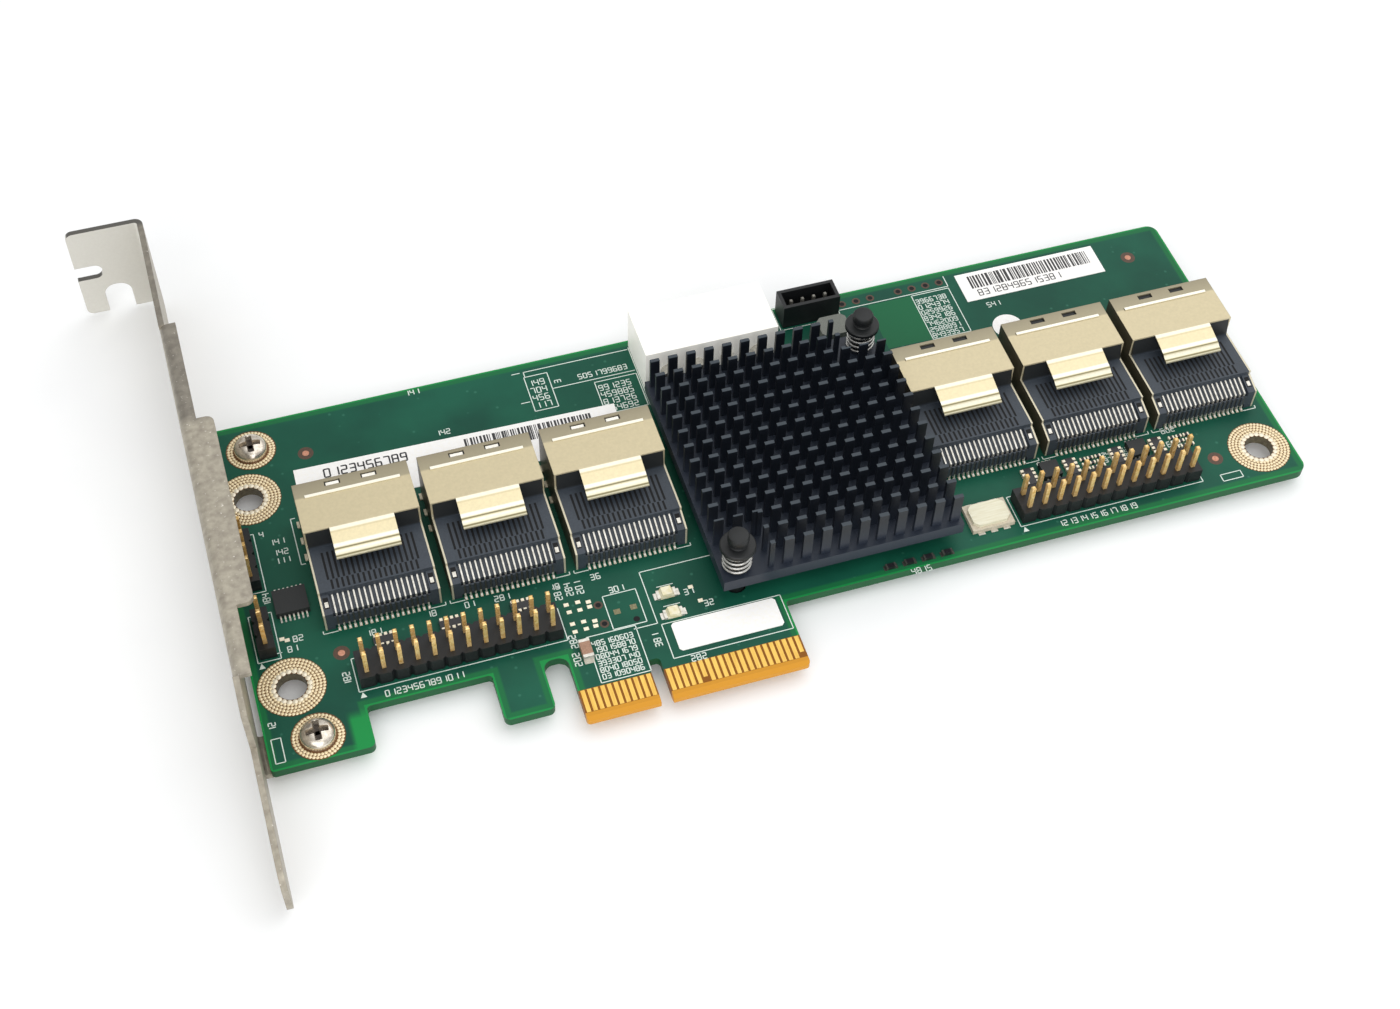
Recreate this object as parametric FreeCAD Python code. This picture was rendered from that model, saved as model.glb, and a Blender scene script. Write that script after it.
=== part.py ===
import FreeCAD, Part
import math
import os

# Expander card for a computer's expansion slot, in millimetres.
# X runs along the card from the bracket end, Y from the contact edge to the top edge,
# Z up from the component face of the board. The export moves the whole card so that
# the middle of its footprint is at X0 Y0 and its lowest point is at Z0.

V = FreeCAD.Vector

# Flat sides of the small round pieces
pin_sides = 12
pad_sides = 20

# Circuit board
end_margin = 2.55        # board past the last socket
top_margin = 1.1         # board past the power inlet's mouth
board_t = 1.57
edge_level = 11.6        # lower board edge above the contact edge
corner_r = 1.8
inner_r = 0.6
foot_length = 15.1       # foot that carries the lower bracket screw
foot_level = 4.75
guide_left = 33.7        # tab beside the contacts that guides the card
guide_width = 7.6
guide_level = 3.4
guide_r = 1.0

# Edge contacts
key_x = 57.15            # middle of the key notch
key_width = 1.9
key_depth = 7.4
contact_pitch = 1.0
contact_width = 0.64
contact_t = 0.04
contact_start = 1.35     # lower end of a contact above the edge
contact_top = 5.16
contacts_left = 11
contacts_right = 21
key_to_contact = 1.5     # from the notch middle to the next contact
tab_margin = 0.6         # board beyond the outermost contact
bevel_run = 0.7
bevel_depth = 0.35
short_contact = 0.9      # the sense contacts stop this much higher
short_places = (16, 31)

# Mounting holes and their ring pads
mount_hole_r = 2.25
mount_inset = 5.45       # from either end of the board
mount_low = 18.0
mount_drop = 15.1        # upper hole below the top edge
mount_pad_r = 5.0
pad_t = 0.05
screw_x = 7.5
screw_low = 8.7
screw_drop = 5.5         # upper screw below the top edge
screw_pad_r = 3.9

# Bracket screws
screw_r = 1.5
screw_clear = 0.15
thread_clear = 0.1
head_r = 2.75
head_h = 1.9
head_side = 1.0          # height of the head's straight side
head_flat_r = 1.7
recess_length = 2.9
recess_width = 0.75
recess_depth = 0.9

# Slot bracket
sheet_t = 0.9
bend_r = 0.5
board_gap = 0.9          # board edge to bracket plate
bracket_length = 120.02
bracket_width = 18.42
ear_length = 11.6        # from the outer face of the plate
ear_r = 1.2
ear_level = 103.3        # outer face of the ear above the contact edge
shoulder_level = 4.6
tongue_width = 10.19
tongue_r = 3.0
flange_width = 2.6       # from the outer face of the plate
flange_wide = 5.1
flange_low = 11.4
flange_high = 78.8
wide_low = 23.1
wide_high = 58.5
flange_r = 1.2
lug_width = 6.6
lug_reach = 4.2          # past the screw's middle
lug_r = 1.5
ear_slot_z = 6.9         # alignment slot, open at the ear's end
ear_slot_width = 2.9
ear_slot_depth = 4.3
notch_x = 5.8            # screw notch middle from the plate's outer face
notch_width = 4.42
notch_depth = 5.8
end_round = 0.9          # rounded share of a slot's half width

# Heat sink, expander chip and thermal pad
sink_left_gap = 1.945    # to the socket on either side
sink_right_gap = 0.15
sink_y = 34.7
fin_pitch = 3.0
fin_columns = 13
fin_rows = 14
fin_wide = 1.5
fin_thin = 0.6
side_margin = 0.55       # base past the outermost fins
end_edge = 0.8
pin_corner = 2           # fins left out each way at a push pin
sink_base_t = 2.2
fin_h = 6.0
chip_size = 31.0
chip_h = 1.1
lid_size = 27.0
lid_h = 1.4
thermal_pad_t = 0.3

# Push pins and springs
push_clear = 0.2
push_shaft_r = 1.4
push_cap_r = 1.65
push_cap_h = 2.4
push_collar_r = 2.75
push_collar_t = 0.8
push_barb_r = 2.0
push_tip_r = 0.9
push_barb_h = 1.9
push_slit = 0.5
spring_r = 2.1
spring_wire = 0.45
spring_turns = 4
spring_h = 4.6
spring_facets = 8

# Mini-SAS sockets
socket_first = 20.93
socket_pitch = 19.25
socket_group = 3
socket_front = 26.2      # rear face, where the contacts come down to the board
socket_depth = 21.2
socket_width = 17.05
mouth_top = 8.6
deck_top = 5.4           # low deck behind the mouth
wall_lean = 0.6          # slope of the wall between mouth and deck
shelf_run = 3.0          # sloping shelf in front of the deck
shelf_high = 4.7
shelf_low = 3.8
shell_t = 0.3
shell_cover = 9.3        # length of shell over the mouth
shell_floor = 6.5
cavity_width = 15.8
cavity_height = 5.4
cavity_depth = 8.6
cavity_floor = 1.7
card_slot_width = 14.8
card_slot_height = 1.6
card_slot_depth = 3.0
window_width = 2.4
window_length = 0.9
window_spread = 5.6
window_back = 1.0
rib_back = 2.75          # pressed rib across the shell
rib_width = 0.5
rib_h = 0.2
rib_length = 14.6
tongue_span = 9.8        # spring tongue of the shell
tongue_run = 3.7
tongue_fall = 0.9
crease_run = 0.4         # crease before the tongue's lip
crease_fall = 0.3
lip_run = 0.8
lip_fall = 0.25
tab_length = 1.2
tab_reach = 0.45
tab_first = 13.95
tab_pitch = 3.2
tab_count = 3
sas_pitch = 0.8
sas_count = 18
sas_contact_width = 0.4
sas_contact_t = 0.3
trough_margin = 0.3      # beside the outermost contacts
trough_depth = 0.5
comb_low = 0.9
comb_top = 2.9

# Pin headers
pin_pitch = 2.54
pin_size = 0.64
pin_top = 7.2
pin_tail = 1.15          # below the board
pin_taper = 0.2
base_h = 2.54
base_notch = 0.4
led_columns = 12
led_left_shift = -9.88   # from the middle of the socket group behind it
led_right_shift = -2.275
led_below = 8.95         # below the sockets' rear faces
side_x = 3.2
side_four_y = 41.4
side_three_y = 27.6

# Small black header
aux_shift = 12.45        # from the heat sink's middle
aux_drop = 2.7           # below the top edge
aux_length = 9.9
aux_width = 4.1
aux_h = 4.8
aux_wall = 0.6
aux_floor = 1.3
aux_pitch = 2.0
aux_pin = 0.5
aux_count = 4
aux_pin_top = 4.2

# White power inlet
inlet_shift = -7.25      # from the heat sink's middle
inlet_width = 22.4
inlet_gap = 2.2          # behind the heat sink
inlet_depth = 10.3
inlet_h = 8.6
inlet_wall = 1.2
inlet_rear = 1.8
inlet_key = 1.6
inlet_pitch = 5.08
inlet_count = 4
inlet_pin_r = 1.05
inlet_pin_short = 1.5    # pin end behind the mouth
inlet_leg_r = 0.7
inlet_leg_back = 0.95    # leg middle behind the housing

# Chips, lights and small parts
logic_x = 8.1
logic_y = 32.5
logic_length = 5.0
logic_lead_count = 7
driver_below = 3.3       # below the sockets' rear faces
driver_length = 3.0
driver_lead_count = 4
driver_shifts = (-9.375, 5.825)
chip_body_width = 4.4
driver_body_width = 3.0
lead_pitch = 0.65
lead_width = 0.26
lead_t = 0.16
lead_reach = 0.9
lead_shoulder = 0.55
chip_body_h = 1.1
chip_lift = 0.1
clock_shift = -3.025     # from the second group's first socket
clock_below = 8.7
clock_length = 7.0
clock_width = 5.0
clock_base_h = 0.8
clock_lid_h = 0.6
clock_rim = 0.45
clock_corner = 0.8
light_x = 62.4
light_places = (14.25, 17.95)
light_length = 3.0
light_width = 1.5
light_base_h = 0.4
light_h = 1.1
lens_foot = 2.1          # lens length at its foot and at its top
lens_top = 1.5
bulk_x = 48.05
bulk_y = 11.45
bulk_length = 3.2
bulk_width = 1.6
bulk_h = 1.2
coil_shift = 14.85       # from the heat sink's middle
coil_gap = 2.6           # behind the heat sink
coil_length = 5.0
coil_width = 4.2
coil_h = 3.0
coil_corner = 0.7
array_below = 3.4
array_length = 3.2
array_width = 1.7
array_h = 0.55
array_shifts = (-12.875, -5.675, 2.325, 9.325)
pack_below = 4.2         # packs behind the left header
pack_shifts = (-20.18, -10.18, 0.72)
tiny_length = 1.6
tiny_width = 0.8
tiny_h = 0.6
tiny_row_shift = 7.25    # from the heat sink's middle
tiny_row_y = 12.85
tiny_row_pitch = 3.1
tiny_row_count = 4

# Blank labels
label_t = 0.1
part_label_shift = -1.08
part_label_gap = 5.3     # label middle behind the sockets' mouths
part_label_length = 52.2
part_label_width = 8.4
part_label_turn = -1.2
address_shift = 4.925
address_drop = 4.9       # below the top edge
address_length = 25.6
address_width = 6.3
model_x = 69.6
model_y = 10.1
model_length = 16.4
model_width = 5.1
model_corner = 0.4

# Places that follow from the sizes above
first_contact = key_x - key_to_contact - (contacts_left - 1) * contact_pitch
last_contact = key_x + key_to_contact + (contacts_right - 1) * contact_pitch
tab_left = first_contact - tab_margin
tab_right = last_contact + tab_margin
guide_right = guide_left + guide_width
plate_in = -board_gap
plate_out = plate_in - sheet_t
bracket_low = -board_t - sheet_t
bracket_top = bracket_low + bracket_width
tongue_level = ear_level - bracket_length
shell_half = socket_width / 2 + shell_t
mouth_y = socket_front + socket_depth
step_y = mouth_y - shell_cover
deck_y = socket_front + shelf_run
shell_top = mouth_top + shell_t
group_length = (socket_group - 1) * socket_pitch
sink_bottom = chip_h + lid_h + thermal_pad_t
sink_shelf = sink_bottom + sink_base_t
sink_top = sink_shelf + fin_h
fin_span_x = (fin_columns - 1) * fin_pitch + fin_wide
fin_span_y = (fin_rows - 1) * fin_pitch + fin_thin
sink_half_x = fin_span_x / 2 + side_margin
sink_half_y = fin_span_y / 2 + end_edge
sink_x = socket_first + group_length + shell_half + sink_left_gap + sink_half_x
socket_second = sink_x + sink_half_x + sink_right_gap + shell_half
first_middle = socket_first + group_length / 2
second_middle = socket_second + group_length / 2
board_length = socket_second + group_length + shell_half + end_margin
inlet_back = sink_y + sink_half_y + inlet_gap
inlet_mouth = inlet_back + inlet_depth
board_height = inlet_mouth + top_margin
pin_dx = (fin_columns - pin_corner) * fin_pitch / 2
pin_dy = (fin_rows - pin_corner) * fin_pitch / 2
push_places = [(sink_x - pin_dx, sink_y - pin_dy), (sink_x + pin_dx, sink_y + pin_dy)]
push_hole_r = push_shaft_r + push_clear
board_low = -board_t
lowest = board_low - push_barb_h
mount_places = [(mount_inset, mount_low), (mount_inset, board_height - mount_drop),
                (board_length - mount_inset, mount_low)]
screw_places = [(screw_x, screw_low), (screw_x, board_height - screw_drop)]
socket_places = [start + i * socket_pitch
                 for start in (socket_first, socket_second) for i in range(socket_group)]
led_y = socket_front - led_below
aux_x = sink_x + aux_shift
aux_y = board_height - aux_drop
inlet_x = sink_x + inlet_shift
inlet_left = inlet_x - inlet_width / 2


def box(x0, x1, y0, y1, z0, z1):
    """Box between two corners."""
    return Part.makeBox(x1 - x0, y1 - y0, z1 - z0, V(x0, y0, z0))


def block(x, y, z, length, width, height):
    """Box centred on x and y, standing on z."""
    return Part.makeBox(length, width, height, V(x - length / 2, y - width / 2, z))


def rod(x, y, z0, z1, radius):
    """Upright cylinder between two heights."""
    return Part.makeCylinder(radius, z1 - z0, V(x, y, z0))


def flat_face(points):
    """Face inside straight edges."""
    return Part.Face(Part.makePolygon(points + points[:1]))


def ring(radius, z, sides):
    """Regular outline round the upright axis; its flats are radius away from the axis."""
    corner = radius / math.cos(math.pi / sides)
    turns = [2 * math.pi * (i + 0.5) / sides for i in range(sides)]
    return [V(corner * math.cos(t), corner * math.sin(t), z) for t in turns]


def prism(start, end, radius, sides):
    """Straight pin with flat sides between two points."""
    axis = end - start
    solid = flat_face(ring(radius, 0, sides)).extrude(V(0, 0, axis.Length))
    return solid.transformed(FreeCAD.Placement(start, FreeCAD.Rotation(V(0, 0, 1), axis)).toMatrix())


def stacked(levels, x, y, sides):
    """Upright piece of flat-sided lengths; each level is (low, high, low radius, high radius)."""
    solids = []
    for low, high, low_r, high_r in levels:
        a, b = ring(low_r, low, sides), ring(high_r, high, sides)
        walls = [[a[i - 1], a[i], b[i], b[i - 1]] for i in range(sides)]
        solids.append(Part.makeSolid(Part.makeShell([flat_face(points) for points in [a, b] + walls])))
    return moved(solids[0].fuse(solids[1:]).removeSplitter(), x, y)


def rounded(corners, place):
    """Face inside (u, v, radius) corners, each rounded by an arc; place maps u, v to space."""
    joints = []
    for i, (u, v, r) in enumerate(corners):
        here = V(u, v, 0)
        back = V(*corners[i - 1][:2], 0) - here
        ahead = V(*corners[(i + 1) % len(corners)][:2], 0) - here
        back.normalize()
        ahead.normalize()
        half = math.acos(back.dot(ahead)) / 2
        inward = (back + ahead).normalize() if r else V()
        run = r / math.tan(half)
        middle = here + inward * (r / math.sin(half) - r)
        joints.append((here + back * run, middle, here + ahead * run, r))
    edges = []
    for i, (start, middle, end, r) in enumerate(joints):
        a, m, b = (place(p.x, p.y) for p in (start, middle, end))
        if r:
            edges.append(Part.Arc(a, m, b).toShape())
        c = place(*list(joints[(i + 1) % len(joints)][0])[:2])
        if (c - b).Length > 1e-6:
            edges.append(Part.makeLine(b, c))
    return Part.Face(Part.Wire(edges))


def flat_plate(corners, z, thickness):
    """Rounded outline in X and Y, thickened upwards."""
    return rounded(corners, lambda u, v: V(u, v, z)).extrude(V(0, 0, thickness))


def swept_x(corners, x0, x1):
    """Rounded outline in Y and Z, swept along X."""
    return rounded(corners, lambda u, v: V(x0, u, v)).extrude(V(x1 - x0, 0, 0))


def swept_y(corners, y0, y1):
    """Rounded outline in X and Z, swept along Y."""
    return rounded(corners, lambda u, v: V(u, y0, v)).extrude(V(0, y1 - y0, 0))


def moved(shape, x, y, z=0):
    """Copy of a shape, shifted."""
    return shape.translated(V(x, y, z))


def cut_corners(x, y, z, length, width, height, cut):
    """Block on z whose four upright edges are cut off."""
    a, b = length / 2, width / 2
    points = [V(x - a, y - b + cut, z), V(x - a + cut, y - b, z), V(x + a - cut, y - b, z),
              V(x + a, y - b + cut, z), V(x + a, y + b - cut, z), V(x + a - cut, y + b, z),
              V(x - a + cut, y + b, z), V(x - a, y + b - cut, z)]
    return flat_face(points).extrude(V(0, 0, height))


def header_grid(x, y, columns, rows):
    """Pin places of a header centred on x and y."""
    left = x - (columns - 1) * pin_pitch / 2
    low = y - (rows - 1) * pin_pitch / 2
    return [(left + i * pin_pitch, low + j * pin_pitch) for i in range(columns) for j in range(rows)]


led_left_pins = header_grid(first_middle + led_left_shift, led_y, led_columns, 2)
led_right_pins = header_grid(second_middle + led_right_shift, led_y, led_columns, 2)
side_four_pins = header_grid(side_x, side_four_y, 1, 4)
side_three_pins = header_grid(side_x, side_three_y, 1, 3)
header_pins = led_left_pins + led_right_pins + side_four_pins + side_three_pins
aux_pins = [(aux_x + (i - (aux_count - 1) / 2) * aux_pitch, aux_y) for i in range(aux_count)]
inlet_places = [inlet_x + (i - (inlet_count - 1) / 2) * inlet_pitch for i in range(inlet_count)]


def circuit_board():
    """Board blank with its stepped lower edge, bevelled contact edge and holes."""
    notch_r = (tab_left - guide_right) / 2 - inner_r / 2
    key_left, key_right = key_x - key_width / 2, key_x + key_width / 2
    key_r = key_width / 2 - inner_r / 2
    blank = flat_plate([
        (0, foot_level, inner_r), (foot_length, foot_level, guide_r),
        (foot_length, edge_level, inner_r), (guide_left, edge_level, inner_r),
        (guide_left, guide_level, guide_r), (guide_right, guide_level, guide_r),
        (guide_right, edge_level, notch_r), (tab_left, edge_level, notch_r),
        (tab_left, 0, inner_r), (key_left, 0, 0),
        (key_left, key_depth, key_r), (key_right, key_depth, key_r),
        (key_right, 0, 0), (tab_right, 0, inner_r),
        (tab_right, edge_level, inner_r), (board_length, edge_level, corner_r),
        (board_length, board_height, corner_r), (0, board_height, inner_r)], board_low, board_t)
    cuts = []
    for face, depth in ((0, -bevel_depth), (board_low, bevel_depth)):
        wedge = [(0, face, 0), (bevel_run, face, 0), (0, face + depth, 0)]
        cuts.append(swept_x(wedge, tab_left, tab_right))
    rounds = [(p, mount_hole_r) for p in mount_places]
    rounds += [(p, screw_r + screw_clear) for p in screw_places]
    cuts += [rod(x, y, board_low, 0, r) for (x, y), r in rounds]
    flats = [(p, push_hole_r) for p in push_places]
    flats += [((x, inlet_back - inlet_leg_back), inlet_leg_r) for x in inlet_places]
    cuts += [prism(V(x, y, board_low), V(x, y, 0), r, pin_sides) for (x, y), r in flats]
    cuts += [block(x, y, board_low, pin_size, pin_size, board_t) for x, y in header_pins]
    cuts += [block(x, y, board_low, aux_pin, aux_pin, board_t) for x, y in aux_pins]
    return blank.cut(cuts)


def edge_contacts(z):
    """Row of contact strips lying on one face of the board."""
    left = [first_contact + i * contact_pitch for i in range(contacts_left)]
    right = [key_x + key_to_contact + i * contact_pitch for i in range(contacts_right)]
    strips = []
    for i, x in enumerate(left + right):
        start = contact_start + (short_contact if i in short_places else 0)
        strips.append(box(x - contact_width / 2, x + contact_width / 2, start, contact_top,
                          z, z + contact_t))
    return Part.makeCompound(strips)


def ring_pads():
    """Plated rings round the mounting holes on both faces and under the screw heads."""
    rounds = [(p, z, mount_pad_r, mount_hole_r) for p in mount_places for z in (0, board_low - pad_t)]
    rounds += [(p, 0, screw_pad_r, screw_r + screw_clear) for p in screw_places]
    pads = []
    for (x, y), z, outer, inner in rounds:
        low, high = V(x, y, z), V(x, y, z + pad_t)
        pads.append(prism(low, high, outer, pad_sides).cut(prism(low, high, inner, pad_sides)))
    return Part.makeCompound(pads)


def folded_strip(y0, y1, edge_z, inner_z, reach):
    """Length of plate whose long edge is folded towards the board; the fold is at edge_z."""
    side = 1 if edge_z > inner_z else -1
    under = edge_z - side * sheet_t
    corners = [(plate_out, inner_z, 0), (plate_out, edge_z, bend_r + sheet_t),
               (plate_out + reach, edge_z, 0), (plate_out + reach, under, 0),
               (plate_in, under, bend_r), (plate_in, inner_z, 0)]
    return swept_y(corners, y0, y1)


def slot_bracket():
    """Bracket folded from one sheet: plate, ear, tongue, stiffening flange and two lugs."""
    fold = 2 * (sheet_t + bend_r)
    ear_under = ear_level - sheet_t
    ear_end = plate_out - ear_length
    body = flat_plate([
        (plate_in, shoulder_level, 0), (plate_in, ear_level, bend_r + sheet_t),
        (ear_end, ear_level, 0), (ear_end, ear_under, 0),
        (plate_out, ear_under, bend_r), (plate_out, shoulder_level, 0)], bracket_low, bracket_width)
    # The fold strips take the place of the flat plate along the flange and the lugs.
    body = body.cut(box(plate_out, plate_in, flange_low, flange_high, bracket_top - fold, bracket_top))
    pieces = [folded_strip(flange_low, flange_high, bracket_top, bracket_top - fold, flange_width)]
    wide_x = plate_out + flange_wide
    pieces.append(flat_plate([
        (plate_out + fold / 2, wide_low, 0), (wide_x, wide_low, flange_r),
        (wide_x, wide_high, flange_r), (plate_out + fold / 2, wide_high, 0)],
        bracket_top - sheet_t, sheet_t))
    lug_end = screw_x + lug_reach
    for x, y in screw_places:
        low, high = y - lug_width / 2, y + lug_width / 2
        body = body.cut(box(plate_out, plate_in, low, high, bracket_low, bracket_low + fold))
        pieces.append(folded_strip(low, high, bracket_low, bracket_low + fold, fold))
        lug = flat_plate([(plate_out + fold / 2, low, 0), (lug_end, low, lug_r), (lug_end, high, lug_r),
                          (plate_out + fold / 2, high, 0)], bracket_low, sheet_t)
        pieces.append(lug.cut(rod(x, y, bracket_low, board_low, screw_r + thread_clear)))
    tongue = swept_x([
        (tongue_level, bracket_low, tongue_r), (shoulder_level, bracket_low, 0),
        (shoulder_level, bracket_low + tongue_width, 0),
        (tongue_level, bracket_low + tongue_width, tongue_r)], plate_out, plate_in)
    bracket = body.fuse(pieces + [tongue])
    slot_r = ear_slot_width / 2
    slot_end = ear_end + ear_slot_depth
    slot = swept_y([
        (ear_end, ear_slot_z - slot_r, 0), (slot_end, ear_slot_z - slot_r, slot_r * end_round),
        (slot_end, ear_slot_z + slot_r, slot_r * end_round), (ear_end, ear_slot_z + slot_r, 0)],
        ear_under, ear_level)
    notch_r = notch_width / 2
    notch_mid = plate_out - notch_x
    notch = swept_y([
        (notch_mid - notch_r, bracket_low, 0), (notch_mid + notch_r, bracket_low, 0),
        (notch_mid + notch_r, bracket_low + notch_depth, notch_r * end_round),
        (notch_mid - notch_r, bracket_low + notch_depth, notch_r * end_round)], ear_under, ear_level)
    far = max(wide_x, lug_end) + sheet_t
    ear_corners = swept_y([
        (ear_end, bracket_low, ear_r), (far, bracket_low, 0), (far, bracket_top, 0),
        (ear_end, bracket_top, ear_r)], tongue_level, ear_level)
    return bracket.cut([slot, notch]).common(ear_corners).removeSplitter()


def bracket_screws():
    """Pan-head screws through the board into the bracket's lugs."""
    top = pad_t + head_h
    levels = [(bracket_low, pad_t, screw_r, screw_r), (pad_t, pad_t + head_side, head_r, head_r),
              (pad_t + head_side, top, head_r, head_flat_r)]
    screws = []
    for x, y in screw_places:
        cross = [block(x, y, top - recess_depth, recess_length, recess_width, recess_depth),
                 block(x, y, top - recess_depth, recess_width, recess_length, recess_depth)]
        screws.append(stacked(levels, x, y, pin_sides).cut(cross))
    return Part.makeCompound(screws)


def heat_sink():
    """Pin-fin sink: a block cross-cut both ways, with two corners cleared for the push pins."""
    left, right = sink_x - sink_half_x, sink_x + sink_half_x
    low, high = sink_y - sink_half_y, sink_y + sink_half_y
    solid = box(left, right, low, high, sink_bottom, sink_top)
    cuts = []
    for i in range(fin_columns + 1):
        end = sink_x - fin_span_x / 2 + i * fin_pitch
        cuts.append(box(end - fin_pitch + fin_wide, end, low, high, sink_shelf, sink_top))
    for i in range(fin_rows + 1):
        end = sink_y - fin_span_y / 2 + i * fin_pitch
        cuts.append(box(left, right, end - fin_pitch + fin_thin, end, sink_shelf, sink_top))
    for x, y in push_places:
        clear = 2 * pin_corner * fin_pitch - fin_pitch
        cuts.append(block(x, y, sink_shelf, clear, clear, fin_h))
        cuts.append(prism(V(x, y, sink_bottom), V(x, y, sink_shelf), push_hole_r, pin_sides))
    return solid.cut(cuts)


def expander_chip():
    """Chip package with a raised cap, mostly hidden by the heat sink."""
    substrate = block(sink_x, sink_y, 0, chip_size, chip_size, chip_h)
    return substrate.fuse(block(sink_x, sink_y, chip_h, lid_size, lid_size, lid_h)).removeSplitter()


def push_pins():
    """Moulded pins with a cap, a collar over the spring and split barbs below the board."""
    collar_low = sink_shelf + spring_h
    collar_top = collar_low + push_collar_t
    levels = [
        (lowest, board_low, push_tip_r, push_barb_r), (board_low, collar_low, push_shaft_r, push_shaft_r),
        (collar_low, collar_top, push_collar_r, push_collar_r),
        (collar_top, collar_top + push_cap_h, push_cap_r, push_cap_r)]
    pins = []
    for x, y in push_places:
        slit = block(x, y, lowest, 3 * push_barb_r, push_slit, push_barb_h + board_t)
        pins.append(stacked(levels, x, y, pin_sides).cut(slit))
    return Part.makeCompound(pins)


def coil_spring(x, y):
    """Square wire wound round a push pin, as a run of corner rings joined by flat faces."""
    steps = spring_turns * spring_facets
    inner, outer = spring_r - spring_wire / 2, spring_r + spring_wire / 2
    section = ((inner, 0), (outer, 0), (outer, spring_wire), (inner, spring_wire))
    rings = []
    for i in range(steps + 1):
        angle = 2 * math.pi * i / spring_facets
        rise = sink_shelf + (spring_h - spring_wire) * i / steps
        rings.append([V(x + r * math.cos(angle), y + r * math.sin(angle), rise + h) for r, h in section])
    outlines = [rings[0], rings[-1]]
    for a, b in zip(rings, rings[1:]):
        for k in range(4):
            n = (k + 1) % 4
            outlines += [[a[k], a[n], b[n]], [a[k], b[n], b[k]]]
    return Part.makeSolid(Part.makeShell([flat_face(points) for points in outlines]))


def socket_housing(x):
    """Moulded socket body: low deck, tall mouth with plug cavity and card slot, trough and comb."""
    half = socket_width / 2
    body = swept_x([
        (socket_front, 0, 0), (mouth_y - shell_floor, 0, 0), (mouth_y - shell_floor, shell_t, 0),
        (mouth_y, shell_t, 0), (mouth_y, mouth_top, 0), (step_y, mouth_top, 0),
        (step_y - wall_lean, deck_top, 0), (deck_y, deck_top, 0), (deck_y, shelf_high, 0),
        (socket_front, shelf_low, 0)], x - half, x + half)
    cavity_back = mouth_y - cavity_depth
    middle = cavity_floor + cavity_height / 2
    cavity = box(x - cavity_width / 2, x + cavity_width / 2, cavity_back, mouth_y,
                 cavity_floor, cavity_floor + cavity_height)
    slot = block(x, cavity_back - card_slot_depth / 2, middle - card_slot_height / 2,
                 card_slot_width, card_slot_depth, card_slot_height)
    # The contacts lie in a trough that is sunk into the shelf and the rear face.
    reach = ((sas_count - 1) * sas_pitch + sas_contact_width) / 2 + trough_margin
    floor_y = socket_front + trough_depth
    trough = swept_x([
        (socket_front, 0, 0), (socket_front, shelf_low, 0), (deck_y, shelf_high, 0),
        (deck_y, shelf_high - trough_depth, 0), (floor_y, shelf_low - trough_depth, 0), (floor_y, 0, 0)],
        x - reach, x + reach)
    comb = box(x - reach, x + reach, socket_front, floor_y - sas_contact_t, comb_low, comb_top)
    return body.cut([cavity, slot, trough]).fuse(comb).removeSplitter()


def socket_shell(x):
    """Shell folded round the mouth: stepped side plates, windows, rib, sprung tongue and solder tabs."""
    half = socket_width / 2
    pieces = []
    for side in (-1, 1):
        inner, outer = sorted((x + side * half, x + side * shell_half))
        pieces.append(swept_x([
            (socket_front, 0, 0), (socket_front, shelf_low, 0), (deck_y, shelf_high, 0),
            (deck_y, deck_top, 0), (step_y, deck_top, 0), (step_y, shell_top, 0),
            (mouth_y, shell_top, 0), (mouth_y, 0, 0)],
            inner, outer))
        reach = x + side * (shell_half + tab_reach / 2)
        for i in range(tab_count):
            tab_y = socket_front + tab_first + i * tab_pitch
            pieces.append(block(reach, tab_y, 0, tab_reach, tab_length, shell_t))
    pieces.append(box(x - half, x + half, mouth_y - shell_floor, mouth_y, 0, shell_t))
    bend = [(step_y, shell_top)]
    for run, fall in ((tongue_run, tongue_fall), (crease_run, crease_fall), (lip_run, lip_fall)):
        bend.append((bend[-1][0] - run, bend[-1][1] - fall))
    under = [(y, z - shell_t) for y, z in reversed(bend)]
    tongue = swept_x([(y, z, 0) for y, z in bend + under], x - tongue_span / 2, x + tongue_span / 2)
    rib = block(x, mouth_y - rib_back, shell_top, rib_length, rib_width, rib_h)
    shell = box(x - half, x + half, step_y, mouth_y, mouth_top, shell_top).fuse(pieces + [tongue, rib])
    windows = [block(x + side * window_spread / 2, mouth_y - window_back, mouth_top,
                     window_width, window_length, shell_t) for side in (-1, 1)]
    return shell.cut(windows).removeSplitter()


def socket_contacts(x):
    """Row of bent contacts: out over the shelf's trough, then down behind the comb to the board."""
    floor_y = socket_front + trough_depth
    face = floor_y - sas_contact_t
    high, low = shelf_high - trough_depth, shelf_low - trough_depth
    start = x - (sas_count - 1) * sas_pitch / 2 - sas_contact_width / 2
    contact = swept_x([
        (deck_y, high, 0), (deck_y, high + sas_contact_t, 0), (face, low + sas_contact_t, 0),
        (face, 0, 0), (floor_y, 0, 0), (floor_y, low, 0)], start, start + sas_contact_width)
    return Part.makeCompound([moved(contact, i * sas_pitch, 0) for i in range(sas_count)])


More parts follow.
